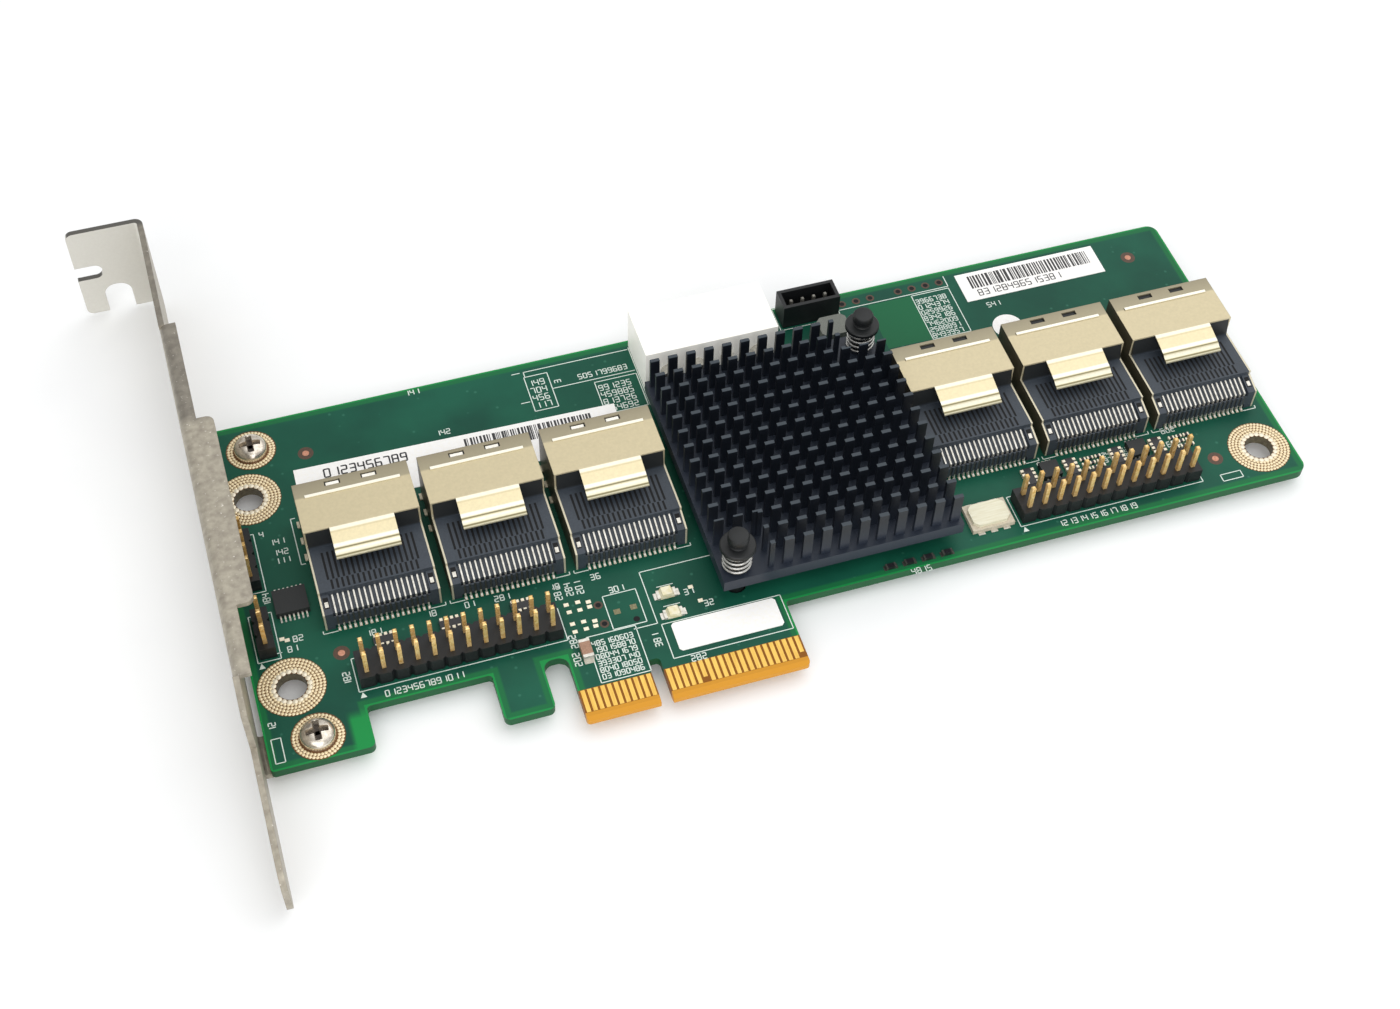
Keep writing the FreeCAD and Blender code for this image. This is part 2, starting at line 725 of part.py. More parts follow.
def header_base(pins):
    """Moulded strip round a grid of pins, notched between positions along its longer way."""
    xs = sorted({round(x, 4) for x, y in pins})
    ys = sorted({round(y, 4) for x, y in pins})
    along_x = len(xs) > len(ys)
    run, across = (xs, ys) if along_x else (ys, xs)
    start, end = run[0] - pin_pitch / 2, run[-1] + pin_pitch / 2
    low, high = across[0] - pin_pitch / 2, across[-1] + pin_pitch / 2
    near = [(start, low)]
    for place in run[1:]:
        cut = place - pin_pitch / 2
        near += [(cut - base_notch, low), (cut, low + base_notch), (cut + base_notch, low)]
    near.append((end, low))
    far = [(u, low + high - v) for u, v in reversed(near)]
    points = [V(u, v, 0) if along_x else V(v, u, 0) for u, v in near + far]
    base = flat_face(points).extrude(V(0, 0, base_h))
    return base.cut([block(x, y, 0, pin_size, pin_size, base_h) for x, y in pins])


def square_pins(places, size, top):
    """Square pins with tapered upper ends, through to the solder side."""
    low = board_low - pin_tail
    pin = block(0, 0, low, size, size, top - low)
    rim = [e for e in pin.Edges if e.BoundBox.ZMin > 0]
    pin = pin.makeChamfer(pin_taper * size, rim)
    return Part.makeCompound([moved(pin, x, y) for x, y in places])


def aux_housing():
    """Small shrouded header, open at the top."""
    body = block(aux_x, aux_y, 0, aux_length, aux_width, aux_h)
    well = block(aux_x, aux_y, aux_floor, aux_length - 2 * aux_wall, aux_width - 2 * aux_wall, aux_h)
    holes = [block(x, y, 0, aux_pin, aux_pin, aux_floor) for x, y in aux_pins]
    return body.cut([well] + holes)


def inlet_housing():
    """Power inlet lying on the board, its mouth keyed by two bevelled corners."""
    body = box(inlet_left, inlet_left + inlet_width, inlet_back, inlet_mouth, 0, inlet_h)
    left, right = inlet_left + inlet_wall, inlet_left + inlet_width - inlet_wall
    low, high = inlet_wall, inlet_h - inlet_wall
    outline = [(left, low, 0), (right, low, 0), (right, high - inlet_key, 0), (right - inlet_key, high, 0),
               (left + inlet_key, high, 0), (left, high - inlet_key, 0)]
    cavity = swept_y(outline, inlet_back + inlet_rear, inlet_mouth)
    level = inlet_h / 2
    bores = [prism(V(x, inlet_back, level), V(x, inlet_back + inlet_rear, level), inlet_pin_r, pin_sides)
             for x in inlet_places]
    return body.cut([cavity] + bores)


def inlet_pins():
    """Power pins through the rear wall, each with a leg down through the board."""
    leg_y = inlet_back - inlet_leg_back
    level = inlet_h / 2
    pins = []
    for x in inlet_places:
        bar = prism(V(x, leg_y - inlet_leg_r, level), V(x, inlet_mouth - inlet_pin_short, level),
                    inlet_pin_r, pin_sides)
        leg = prism(V(x, leg_y, board_low - pin_tail), V(x, leg_y, level), inlet_leg_r, pin_sides)
        pins.append(bar.fuse(leg).removeSplitter())
    return Part.makeCompound(pins)


def leaded_chip(x, y, length, width, count):
    """Chip body and its bent leads along the two long sides."""
    body = block(x, y, chip_lift, length, width, chip_body_h)
    leads = []
    for side in (-1, 1):
        wall = y + side * width / 2
        knee = wall + side * lead_t
        toe = wall + side * lead_reach
        start = x - (count - 1) * lead_pitch / 2 - lead_width / 2
        lead = swept_x([(wall, 0, 0), (toe, 0, 0), (toe, lead_t, 0), (knee, lead_t, 0),
                        (knee, lead_shoulder, 0), (wall, lead_shoulder, 0)], start, start + lead_width)
        leads += [moved(lead, i * lead_pitch, 0) for i in range(count)]
    return body, leads


def oscillator():
    """Ceramic base and the metal lid seated on it."""
    x, y = socket_second + clock_shift, socket_front - clock_below
    length, width = clock_length - 2 * clock_rim, clock_width - 2 * clock_rim
    base = block(x, y, 0, clock_length, clock_width, clock_base_h)
    lid = cut_corners(x, y, clock_base_h, length, width, clock_lid_h, clock_corner)
    return base, lid


def power_inductor():
    """Moulded power inductor beside the inlet."""
    y = sink_y + sink_half_y + coil_gap + coil_width / 2
    return cut_corners(sink_x + coil_shift, y, 0, coil_length, coil_width, coil_h, coil_corner)


def resistor_arrays():
    """Resistor arrays in front of both socket groups."""
    places = [(second_middle + shift, array_below, array_width, array_length) for shift in array_shifts]
    places += [(first_middle + shift, pack_below, array_length, array_width) for shift in pack_shifts]
    return Part.makeCompound([block(x, socket_front - below, 0, length, width, array_h)
                              for x, below, length, width in places])


def small_resistors():
    """Short row of chip resistors."""
    row_x = sink_x + tiny_row_shift
    places = [row_x + i * tiny_row_pitch for i in range(tiny_row_count)]
    return Part.makeCompound([block(x, tiny_row_y, 0, tiny_length, tiny_width, tiny_h) for x in places])


def status_light(x, y):
    """Surface-mounted light: flat base and a lens that narrows upwards."""
    base = block(x, y, 0, light_length, light_width, light_base_h)
    lens = swept_y([(x - lens_foot / 2, light_base_h, 0), (x + lens_foot / 2, light_base_h, 0),
                    (x + lens_top / 2, light_h, 0), (x - lens_top / 2, light_h, 0)],
                   y - light_width / 2, y + light_width / 2)
    return base.fuse(lens).removeSplitter()


def part_label():
    """Long label stuck on slightly askew above the first sockets."""
    x, y = first_middle + part_label_shift, mouth_y + part_label_gap
    label = block(x, y, 0, part_label_length, part_label_width, label_t)
    label.rotate(V(x, y, 0), V(0, 0, 1), part_label_turn)
    return label


def build_nodes():
    """All pieces of the card by name."""
    nodes = {
        "circuit_board": circuit_board(),
        "edge_contacts_front": edge_contacts(0),
        "edge_contacts_back": edge_contacts(board_low - contact_t),
        "ring_pads": ring_pads(),
        "slot_bracket": slot_bracket(),
        "bracket_screws": bracket_screws(),
        "heat_sink": heat_sink(),
        "expander_chip": expander_chip(),
        "thermal_pad": block(sink_x, sink_y, chip_h + lid_h, lid_size, lid_size, thermal_pad_t),
        "push_pins": push_pins(),
        "push_pin_springs": Part.makeCompound([coil_spring(x, y) for x, y in push_places]),
        "led_header_left_base": header_base(led_left_pins),
        "led_header_left_pins": square_pins(led_left_pins, pin_size, pin_top),
        "led_header_right_base": header_base(led_right_pins),
        "led_header_right_pins": square_pins(led_right_pins, pin_size, pin_top),
        "side_header_four_base": header_base(side_four_pins),
        "side_header_four_pins": square_pins(side_four_pins, pin_size, pin_top),
        "side_header_three_base": header_base(side_three_pins),
        "side_header_three_pins": square_pins(side_three_pins, pin_size, pin_top),
        "aux_header_housing": aux_housing(),
        "aux_header_pins": square_pins(aux_pins, aux_pin, aux_pin_top),
        "power_inlet_housing": inlet_housing(),
        "power_inlet_pins": inlet_pins(),
        "power_inductor": power_inductor(),
        "status_lights": Part.makeCompound([status_light(light_x, y) for y in light_places]),
        "bulk_capacitor": block(bulk_x, bulk_y, 0, bulk_width, bulk_length, bulk_h),
        "chip_resistors": small_resistors(),
        "resistor_arrays": resistor_arrays(),
        "part_label": part_label(),
        "address_label": block(second_middle + address_shift, board_height - address_drop, 0,
                               address_length, address_width, label_t),
        "model_label": cut_corners(model_x, model_y, 0, model_length, model_width, label_t, model_corner),
    }
    body, leads = leaded_chip(logic_x, logic_y, logic_length, chip_body_width, logic_lead_count)
    nodes["logic_chip"] = body
    nodes["logic_chip_leads"] = Part.makeCompound(leads)
    drivers = [leaded_chip(second_middle + shift, socket_front - driver_below, driver_length,
                           driver_body_width, driver_lead_count) for shift in driver_shifts]
    nodes["driver_chips"] = Part.makeCompound([body for body, leads in drivers])
    nodes["driver_chip_leads"] = Part.makeCompound([lead for body, leads in drivers for lead in leads])
    nodes["oscillator_base"], nodes["oscillator_lid"] = oscillator()
    for i, x in enumerate(socket_places, 1):
        nodes[f"sas_housing_{i}"] = socket_housing(x)
        nodes[f"sas_shell_{i}"] = socket_shell(x)
        nodes[f"sas_contacts_{i}"] = socket_contacts(x)
    return nodes


middle_x = (plate_out - ear_length + board_length) / 2
middle_y = tongue_level + bracket_length / 2
os.makedirs("parts", exist_ok=True)
for name, shape in build_nodes().items():
    moved(shape, -middle_x, -middle_y, -lowest).exportStep(f"parts/{name}.step")
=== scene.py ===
import math
from functools import partial
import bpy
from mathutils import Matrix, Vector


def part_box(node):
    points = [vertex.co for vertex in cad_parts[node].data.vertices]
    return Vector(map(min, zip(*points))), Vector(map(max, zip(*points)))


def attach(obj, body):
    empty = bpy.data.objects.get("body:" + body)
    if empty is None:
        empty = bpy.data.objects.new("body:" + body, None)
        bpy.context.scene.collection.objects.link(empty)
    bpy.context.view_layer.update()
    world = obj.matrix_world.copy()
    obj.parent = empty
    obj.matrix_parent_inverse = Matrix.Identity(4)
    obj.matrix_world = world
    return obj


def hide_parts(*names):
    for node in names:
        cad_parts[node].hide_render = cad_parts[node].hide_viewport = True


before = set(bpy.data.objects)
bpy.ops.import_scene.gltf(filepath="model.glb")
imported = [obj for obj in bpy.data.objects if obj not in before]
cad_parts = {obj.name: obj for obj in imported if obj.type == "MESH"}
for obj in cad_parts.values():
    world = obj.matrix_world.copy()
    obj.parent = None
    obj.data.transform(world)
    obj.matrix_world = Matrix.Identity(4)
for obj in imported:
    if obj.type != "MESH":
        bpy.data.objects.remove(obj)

from types import SimpleNamespace

import bmesh
import bpy
import numpy as np
from bpy.props import FloatProperty, FloatVectorProperty, IntProperty, PointerProperty
from mathutils import Quaternion, Vector

bl_info = {
    "name": "Expander card",
    "version": (1, 0, 0),
    "blender": (4, 5, 0),
    "location": "View3D > Sidebar > Card",
    "description": "Finishes, printing and fine parts of an expander card, and its studio stage",
    "category": "Object",
}

MM = 0.001
WELD = 1e-7  # points of a piece closer than this, in metres, become one
SOCKETS = range(1, 7)
HEADERS = ("led_header_left", "led_header_right", "side_header_four", "side_header_three")


def linear(code):
    """Linear colour from an sRGB hex code."""
    raw = np.array([int(code[i:i + 2], 16) for i in (1, 3, 5)]) / 255
    value = np.where(raw <= 0.04045, raw / 12.92, ((raw + 0.055) / 1.055) ** 2.4)
    return (*value.tolist(), 1.0)


def length(name, description, millimetres):
    """Length property with its default given in millimetres."""
    return FloatProperty(name=name, description=description, default=millimetres * MM, precision=5,
                         unit="LENGTH", subtype="DISTANCE")


def colour(name, description, code):
    """Colour property with its default given as an sRGB hex code."""
    return FloatVectorProperty(name=name, description=description, size=4, min=0, max=1, subtype="COLOR",
                               default=linear(code))


# Settings

class CardPrint(bpy.types.PropertyGroup):
    """Sizes of what is printed on the board."""
    line: length("Line", "Width of a printed line", 0.15)
    stroke: length("Stroke", "Width of a numeral's stroke", 0.16)
    lift: length("Lift", "Height of print above what carries it", 0.02)
    margin: length("Margin", "Outline round a header", 0.45)


class CardMask(bpy.types.PropertyGroup):
    """Sizes of the bare and bright zones of the board."""
    border: length("Border", "Bright border along the edges", 0.95)
    edge: length("Edge", "Pale line at the very edge", 0.3)
    fade: length("Fade", "Soft step between border and copper", 0.35)
    foot_glow: length("Foot glow", "Bright margin at the right of the bracket foot", 3.3)
    foot_end: length("Foot end", "Right end of the bracket foot", 15.1)
    foot_low: length("Foot low", "Lower edge of the bracket foot", 4.75)
    guide_left: length("Guide left", "Left end of the guide tab", 33.7)
    guide_right: length("Guide right", "Right end of the guide tab", 41.3)
    guide_low: length("Guide low", "Lower edge of the guide tab", 3.4)
    tab_left: length("Tab left", "Left end of the contact tab", 45.05)
    tab_right: length("Tab right", "Right end of the contact tab", 79.25)
    edge_low: length("Long edge", "Long lower edge above the contact edge", 11.6)
    bare_top: length("Bare top", "Upper end of the bare contact zone", 5.25)
    bevel_top: length("Bevel top", "Upper end of the bevelled zone", 1.3)


class CardFine(bpy.types.PropertyGroup):
    """Sizes of the small added parts."""
    dot_r: length("Dot radius", "Radius of a solder dot", 0.27)
    dot_h: length("Dot height", "Height of a solder dot", 0.08)
    dot_pitch: length("Dot pitch", "Distance between solder dots", 0.53)
    dot_sides: IntProperty(name="Dot sides", description="Sides of a solder dot", default=8)
    slit: length("Slit", "Width of a slit in a socket's deck", 0.34)
    contact_pitch: length("Contact pitch", "Distance between socket contacts", 0.8)
    contact_count: IntProperty(name="Contacts", description="Contacts in a socket's row", default=18)
    deck: length("Deck", "Height of a socket's deck", 5.4)
    shelf_high: length("Shelf high", "Height of the contact shelf at the deck", 4.7)
    shelf_low: length("Shelf low", "Height of the contact shelf at the rear face", 3.8)
    shelf_run: length("Shelf run", "Length of the contact shelf", 3.0)
    spring_r: length("Spring radius", "Middle radius of a push-pin spring", 2.1)
    wire: length("Wire", "Thickness of the spring wire", 0.45)
    spring_turns: IntProperty(name="Turns", description="Turns of a push-pin spring", default=4)
    spring_steps: IntProperty(name="Steps", description="Steps in one turn", default=28)
    joint_r: length("Joint radius", "Foot radius of a solder joint", 0.85)
    joint_h: length("Joint height", "Height of a solder joint", 0.8)


class CardStage(bpy.types.PropertyGroup):
    """Camera, light and floor."""
    eye: FloatVectorProperty(name="Eye", description="Camera position", subtype="TRANSLATION", unit="LENGTH",
                             size=3, default=(-0.068145, -0.19128, 0.25470))
    look: FloatVectorProperty(name="Look", description="Direction of view", subtype="DIRECTION",
                              size=3, default=(0.2009, 0.5721, -0.7952))
    roll: FloatProperty(name="Roll", description="Turn about the direction of view", subtype="ANGLE",
                        unit="ROTATION", default=math.radians(2.14))
    lens: FloatProperty(name="Lens", description="Focal length on a 36 mm sensor", unit="CAMERA",
                        default=51.98)
    sky: FloatProperty(name="Sky", description="Strength of the even white light", default=0.62)
    key: FloatProperty(name="Key", description="Power of the main lamp", unit="POWER", default=3.1)
    fill: FloatProperty(name="Fill", description="Power of the front lamp", unit="POWER", default=3.1)
    floor: length("Floor", "Width of the floor", 6000)


class CardColours(bpy.types.PropertyGroup):
    """Main colours."""
    mask: colour("Mask", "Solder mask over copper", "#0F4B3B")
    mask_light: colour("Light mask", "Paler clouds of the mask", "#165B46")
    rim: colour("Rim", "Solder mask over bare laminate", "#176B3E")
    wall: colour("Wall", "Cut side of the board", "#13552F")
    glow: colour("Glow", "Light through the margin of the foot", "#178C45")
    patch: colour("Patch", "Mask over a bare area", "#176540")
    resin: colour("Resin", "Bare laminate between the contacts", "#8A5414")
    bevel: colour("Bevel", "Bevelled laminate below the contacts", "#D0912A")
    gold: colour("Gold", "Gold plating", "#F3CA64")
    shell: colour("Shell", "Socket shells", "#CFC29F")
    # painted shade on the left faces of the shell side plates
    shell_side_shade: colour("Shell side", "Side plates of the socket shells", "#524D3F")
    housing: colour("Housing", "Socket housings", "#3F4852")
    sink: colour("Heat sink", "Black anodising", "#0C1016")
    # painted sheen on the tops of the fins
    fin_top_sheen: colour("Fin tops", "Cut tops of the fins", "#343D45")
    sheet: colour("Sheet", "Bracket sheet", "#B5AE9D")
    # painted bright reflection on the ear of the bracket
    ear: colour("Ear", "Ear of the bracket", "#DDDBD3")
    ink: colour("Ink", "White print on the board", "#EEF5EF")


# Shapes, in millimetres from the board's left end, contact edge and component face

def corners(node):
    """Low and high corner of a CAD node, in metres."""
    return np.array(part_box(node))


def board_origin():
    """Left end, contact edge and component face of the board, in metres."""
    low, high = corners("circuit_board")
    return np.array([low[0], low[1], high[2]])


def node_box(node):
    """Low and high corner of a CAD node, in board millimetres."""
    return (corners(node) - board_origin()) / MM


def node_rectangle(node, margin=0):
    """Left, low, right and high side of a rectangle round a CAD node."""
    low, high = node_box(node)
    return low[0] - margin, low[1] - margin, high[0] + margin, high[1] + margin


def in_mm(group):
    """The settings of a group, with its lengths in millimetres."""
    values = {key: getattr(group, key) for key in group.__annotations__}
    return SimpleNamespace(**{key: v / MM if isinstance(v, float) else v for key, v in values.items()})


def frame_lines(x0, y0, x1, y1):
    """Four line ends round a rectangle."""
    return [((x0, y0), (x1, y0)), ((x1, y0), (x1, y1)), ((x1, y1), (x0, y1)), ((x0, y1), (x0, y0))]


def circle(centre, radius, count, z):
    """Places spread evenly round a circle."""
    turn = np.arange(count) * 2 * np.pi / count
    x, y = centre[0] + radius * np.cos(turn), centre[1] + radius * np.sin(turn)
    return np.stack([x, y, np.full(count, z)], axis=1)


def on_face(places):
    """Places as stacked points; those without a height lie on the component face."""
    places = np.asarray(places, float)
    return np.pad(places, ((0, 0), (0, 3 - places.shape[1])))[:, None, None]


def raised(flat, z):
    """Flat grids with one height for all their points."""
    return np.concatenate([flat, np.full(flat.shape[:-1] + (1,), z)], axis=-1)


def closed(grids, axis):
    """Grids that come round again: their first line is also their last."""
    return np.concatenate([grids, grids.take([0], axis)], axis)


def strips(ends, width, z):
    """Flat strips: u runs from one end to the other and v across the width."""
    ends = np.asarray(ends, float)
    along = ends[:, 1] - ends[:, 0]
    along /= np.linalg.norm(along, axis=1, keepdims=True)
    side = np.stack([-along[:, 1], along[:, 0]], axis=1)[:, None] * width / 2
    return raised(np.stack([ends - side, ends + side], axis=2), z)


def ribbons(places, path, width):
    """Bent strips: u follows a (y, z) path towards the contact edge and v runs across, along X."""
    x = np.asarray(places, float)[:, None, None] + np.array([-width / 2, width / 2])
    y, z = np.asarray(path, float).T[:, None, :, None]
    return np.stack(np.broadcast_arrays(x, y, z), axis=3)


def bent_bars(places, outer, inner, width):
    """Bent bars: u follows two (y, z) paths, v goes round the section between them, ends close to a point."""
    outer, inner = np.asarray(outer, float), np.asarray(inner, float)
    section = np.stack([outer, outer, inner, inner], axis=1)
    tips = section[[0, -1]].mean(axis=1, keepdims=True).repeat(4, axis=1)
    section = np.concatenate([tips[:1], section, tips[1:]])
    side = np.broadcast_to(np.array([-1, 1, 1, -1]) * width / 2, section.shape[:2]).copy()
    side[[0, -1]] = 0
    bar = np.concatenate([side[..., None], section], axis=2)
    return closed(bar + np.asarray(places, float)[:, None, None, None] * np.array([1.0, 0, 0]), 2)


def lathes(profile, sides, places):
    """Turned shapes: u is the angle round an upright axis and v runs along a (radius, height) profile."""
    angle = np.linspace(0, 2 * np.pi, sides, endpoint=False)[:, None]
    r, z = np.asarray(profile, float).T
    shape = np.stack(np.broadcast_arrays(r * np.cos(angle), r * np.sin(angle), z), axis=2)
    return closed(on_face(places) + shape, 1)


def bricks(places, size):
    """Blocks on their places: a square ring (u) carried up through its height and closed (v)."""
    ring = np.array([(-1, -1), (1, -1), (1, 1), (-1, 1)])[:, None] / 2
    share, level = np.array([(0, 1, 1, 0), (0, 0, 1, 1)])[..., None]
    flat = ring * share * np.asarray(size[:2])
    tall = np.broadcast_to(level * size[2], (4, 4, 1))
    return closed(on_face(places) + np.concatenate([flat, tall], axis=2), 1)


def helix(centre, radius, wire, sides, turns, steps, low, high):
    """Round wire on a helix: u runs along the wire, v round it; both ends close to a point."""
    t = np.linspace(0, turns * 2 * np.pi, turns * steps + 1)[:, None]
    rise = np.linspace(low + wire / 2, high - wire / 2, len(t))[:, None]
    around = np.linspace(0, -2 * np.pi, sides, endpoint=False)
    thick = np.full((len(t), 1), wire / 2)
    thick[[0, -1]] = 0
    reach = radius + thick * np.cos(around)
    x, y = centre[0] + reach * np.cos(t), centre[1] + reach * np.sin(t)
    return closed(np.stack([x, y, rise + thick * np.sin(around)], axis=2)[None], 2)


def crossed(heads, span, width, floor, slope):
    """Cross recess in turned heads: a point inside either arm sinks to a flat floor, over a short slope."""
    middle = (heads.min(axis=(1, 2), keepdims=True) + heads.max(axis=(1, 2), keepdims=True)) / 2
    x, y = np.abs(heads - middle)[..., :2].transpose(3, 0, 1, 2)
    inside = np.maximum(np.minimum(span / 2 - x, width / 2 - y), np.minimum(span / 2 - y, width / 2 - x))
    sunk = heads.copy()
    sunk[..., 2] += np.minimum(floor - heads[..., 2], 0) * np.clip(inside / slope, 0, 1)
    return sunk


def turned(ends, centre, angle):
    """Line ends turned about a point."""
    c, s = math.cos(angle), math.sin(angle)
    return (np.asarray(ends, float) - centre) @ np.array([(c, s), (-s, c)]) + centre


# Strokes of the ten numerals on a cell that is 1 high and 0.55 wide
STROKES = np.array([((0, 1), (.55, 1)), ((.55, 1), (.55, .5)), ((.55, .5), (.55, 0)), ((0, 0), (.55, 0)),
                    ((0, 0), (0, .5)), ((0, .5), (0, 1)), ((0, .5), (.55, .5))])
NUMERALS = ((0, 1, 2, 3, 4, 5), (1, 2), (0, 1, 6, 4, 3), (0, 1, 6, 2, 3), (5, 6, 1, 2), (0, 5, 6, 2, 3),
            (0, 5, 6, 4, 3, 2), (0, 1, 2), (0, 1, 2, 3, 4, 5, 6), (0, 1, 2, 3, 5, 6))
ADVANCE, LEADING = 0.85, 1.4


def numerals(text, x, y, height, upright=False):
    """Stroke ends of a number: each numeral's strokes, scaled and set side by side or climbing up."""
    ends = [STROKES[list(NUMERALS[int(digit)])] + (ADVANCE * k, 0) for k, digit in enumerate(text)]
    ends = np.concatenate(ends) * height
    if upright:
        ends = np.stack([-ends[..., 1], ends[..., 0]], axis=-1)
    return ends + (x, y)


def number_block(rng, x0, y0, x1, y1, height):
    """Stroke ends of rows of plain numbers that fill a rectangle."""
    columns = int((x1 - x0) / (ADVANCE * height))
    rows = int((y1 - y0) / (LEADING * height))
    digits = rng.integers(0, 10, (rows, columns))
    return np.concatenate([numerals("".join(map(str, row)), x0, y0 + LEADING * height * k, height)
                           for k, row in enumerate(digits)])


def grid_faces(shape, start):
    """Quads between neighbouring points of stacked (copies, u, v) grids."""
    index = np.arange(np.prod(shape)).reshape(shape) + start
    ring = [index[:, :-1, :-1], index[:, 1:, :-1], index[:, 1:, 1:], index[:, :-1, 1:]]
    return np.stack(ring, axis=-1).reshape(-1, 4)


def add_piece(name, finish, slot, *grids, smooth=False):
    """One mesh object at the origin from stacked grids in board millimetres, riding on the card."""
    points, faces, start = [], [], 0
    for grid in grids:
        faces.append(grid_faces(grid.shape[:3], start))
        points.append(grid.reshape(-1, 3))
        start += len(points[-1])
    places = board_origin() + np.concatenate(points) * MM
    mesh = bpy.data.meshes.new(name)
    mesh.from_pydata(places.tolist(), [], np.concatenate(faces).tolist())
    merged = bmesh.new()
    merged.from_mesh(mesh)
    bmesh.ops.remove_doubles(merged, verts=merged.verts, dist=WELD)
    merged.to_mesh(mesh)
    merged.free()
    if smooth:
        mesh.shade_smooth()
    mesh.materials.append(bpy.data.materials[finish])
    piece = bpy.data.objects.new(name, mesh)
    bpy.context.scene.collection.objects.link(piece)
    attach(piece, "root")
    return piece


# Shader helpers

RGBA = {"data_type": "RGBA"}  # a Mix node that mixes colours
CORE = (0.3, 0.7)  # the middle of a range from 0 to 1, where most of a noise lies


def per_mm(size):
    """Texture scale for a pattern of that size in mm, on coordinates in metres."""
    return 1 / (size * MM)


def add_node(tree, kind, *inputs, **settings):
    """Adds a node. Inputs go to its sockets in order, those of a closing dictionary to the named sockets.

    An input is a node, whose first output is linked, or a socket, an sRGB hex code or a plain value.
    """
    node = tree.nodes.new("ShaderNode" + kind)
    for key, value in settings.items():
        setattr(node, key, value)
    named = inputs[-1] if inputs and isinstance(inputs[-1], dict) else {}
    pairs = [*zip((socket for socket in node.inputs if socket.enabled), inputs[:len(inputs) - bool(named)])]
    for socket, value in pairs + [(node.inputs[key], value) for key, value in named.items()]:
        if isinstance(value, bpy.types.Node):
            value = next(output for output in value.outputs if output.enabled)
        if isinstance(value, bpy.types.NodeSocket):
            tree.links.new(value, socket)
        else:
            socket.default_value = linear(value) if isinstance(value, str) else value
    return node


def new_material(name):
    """Empty material: gives what adds nodes to it, and its Object coordinates."""
    material = bpy.data.materials.new(name)
    material.use_nodes = True
    material.node_tree.nodes.clear()
    add = partial(add_node, material.node_tree)
    return add, add("TexCoord").outputs["Object"]


def two_tone(name, light, dark, grain, roughness, metallic=0.0, relief=0.0, stretch=(1, 1, 1), glow=0.0):
    """Finish whose colour wanders between two tones over a grain in mm, with relief in mm and a glow."""
    add, coords = new_material(name)
    placed = add("Mapping", coords, {"Scale": stretch})
    noise = add("TexNoise", placed, {"Scale": per_mm(grain), "Detail": 3.0, "Roughness": 0.6})
    spread = add("MapRange", noise, *CORE)
    tone = add("Mix", spread, dark, light, **RGBA)
    look = {"Base Color": tone, "Roughness": roughness, "Metallic": metallic, "Emission Color": light,
            "Emission Strength": glow}
    if relief:
        look["Normal"] = add("Bump", {"Height": noise, "Distance": relief * MM})
    add("OutputMaterial", add("BsdfPrincipled", look))


# Finishes, with their places and sizes in millimetres

# Steps over which the foot's glow fades upward and to the left; what its and the tab's ends allow beyond
FOOT_RISE, FOOT_FADE, FOOT_SLACK, TAB_SLACK = 1.6, 0.8, 0.1, 0.3
# Middle and half sizes of an area without copper
PATCH_MIDDLE, PATCH_HALF = (116.4, 59.9), (3.9, 5.1)
# Cell of the vias, with the soft edge and the strength of a via as shares; size of the mask's clouds
VIA_CELL, VIA_EDGE, VIA_SHARE, CLOUD, CLOUD_CORE = 2.4, (0.06, 0.13), 0.45, 14, (0.35, 0.65)


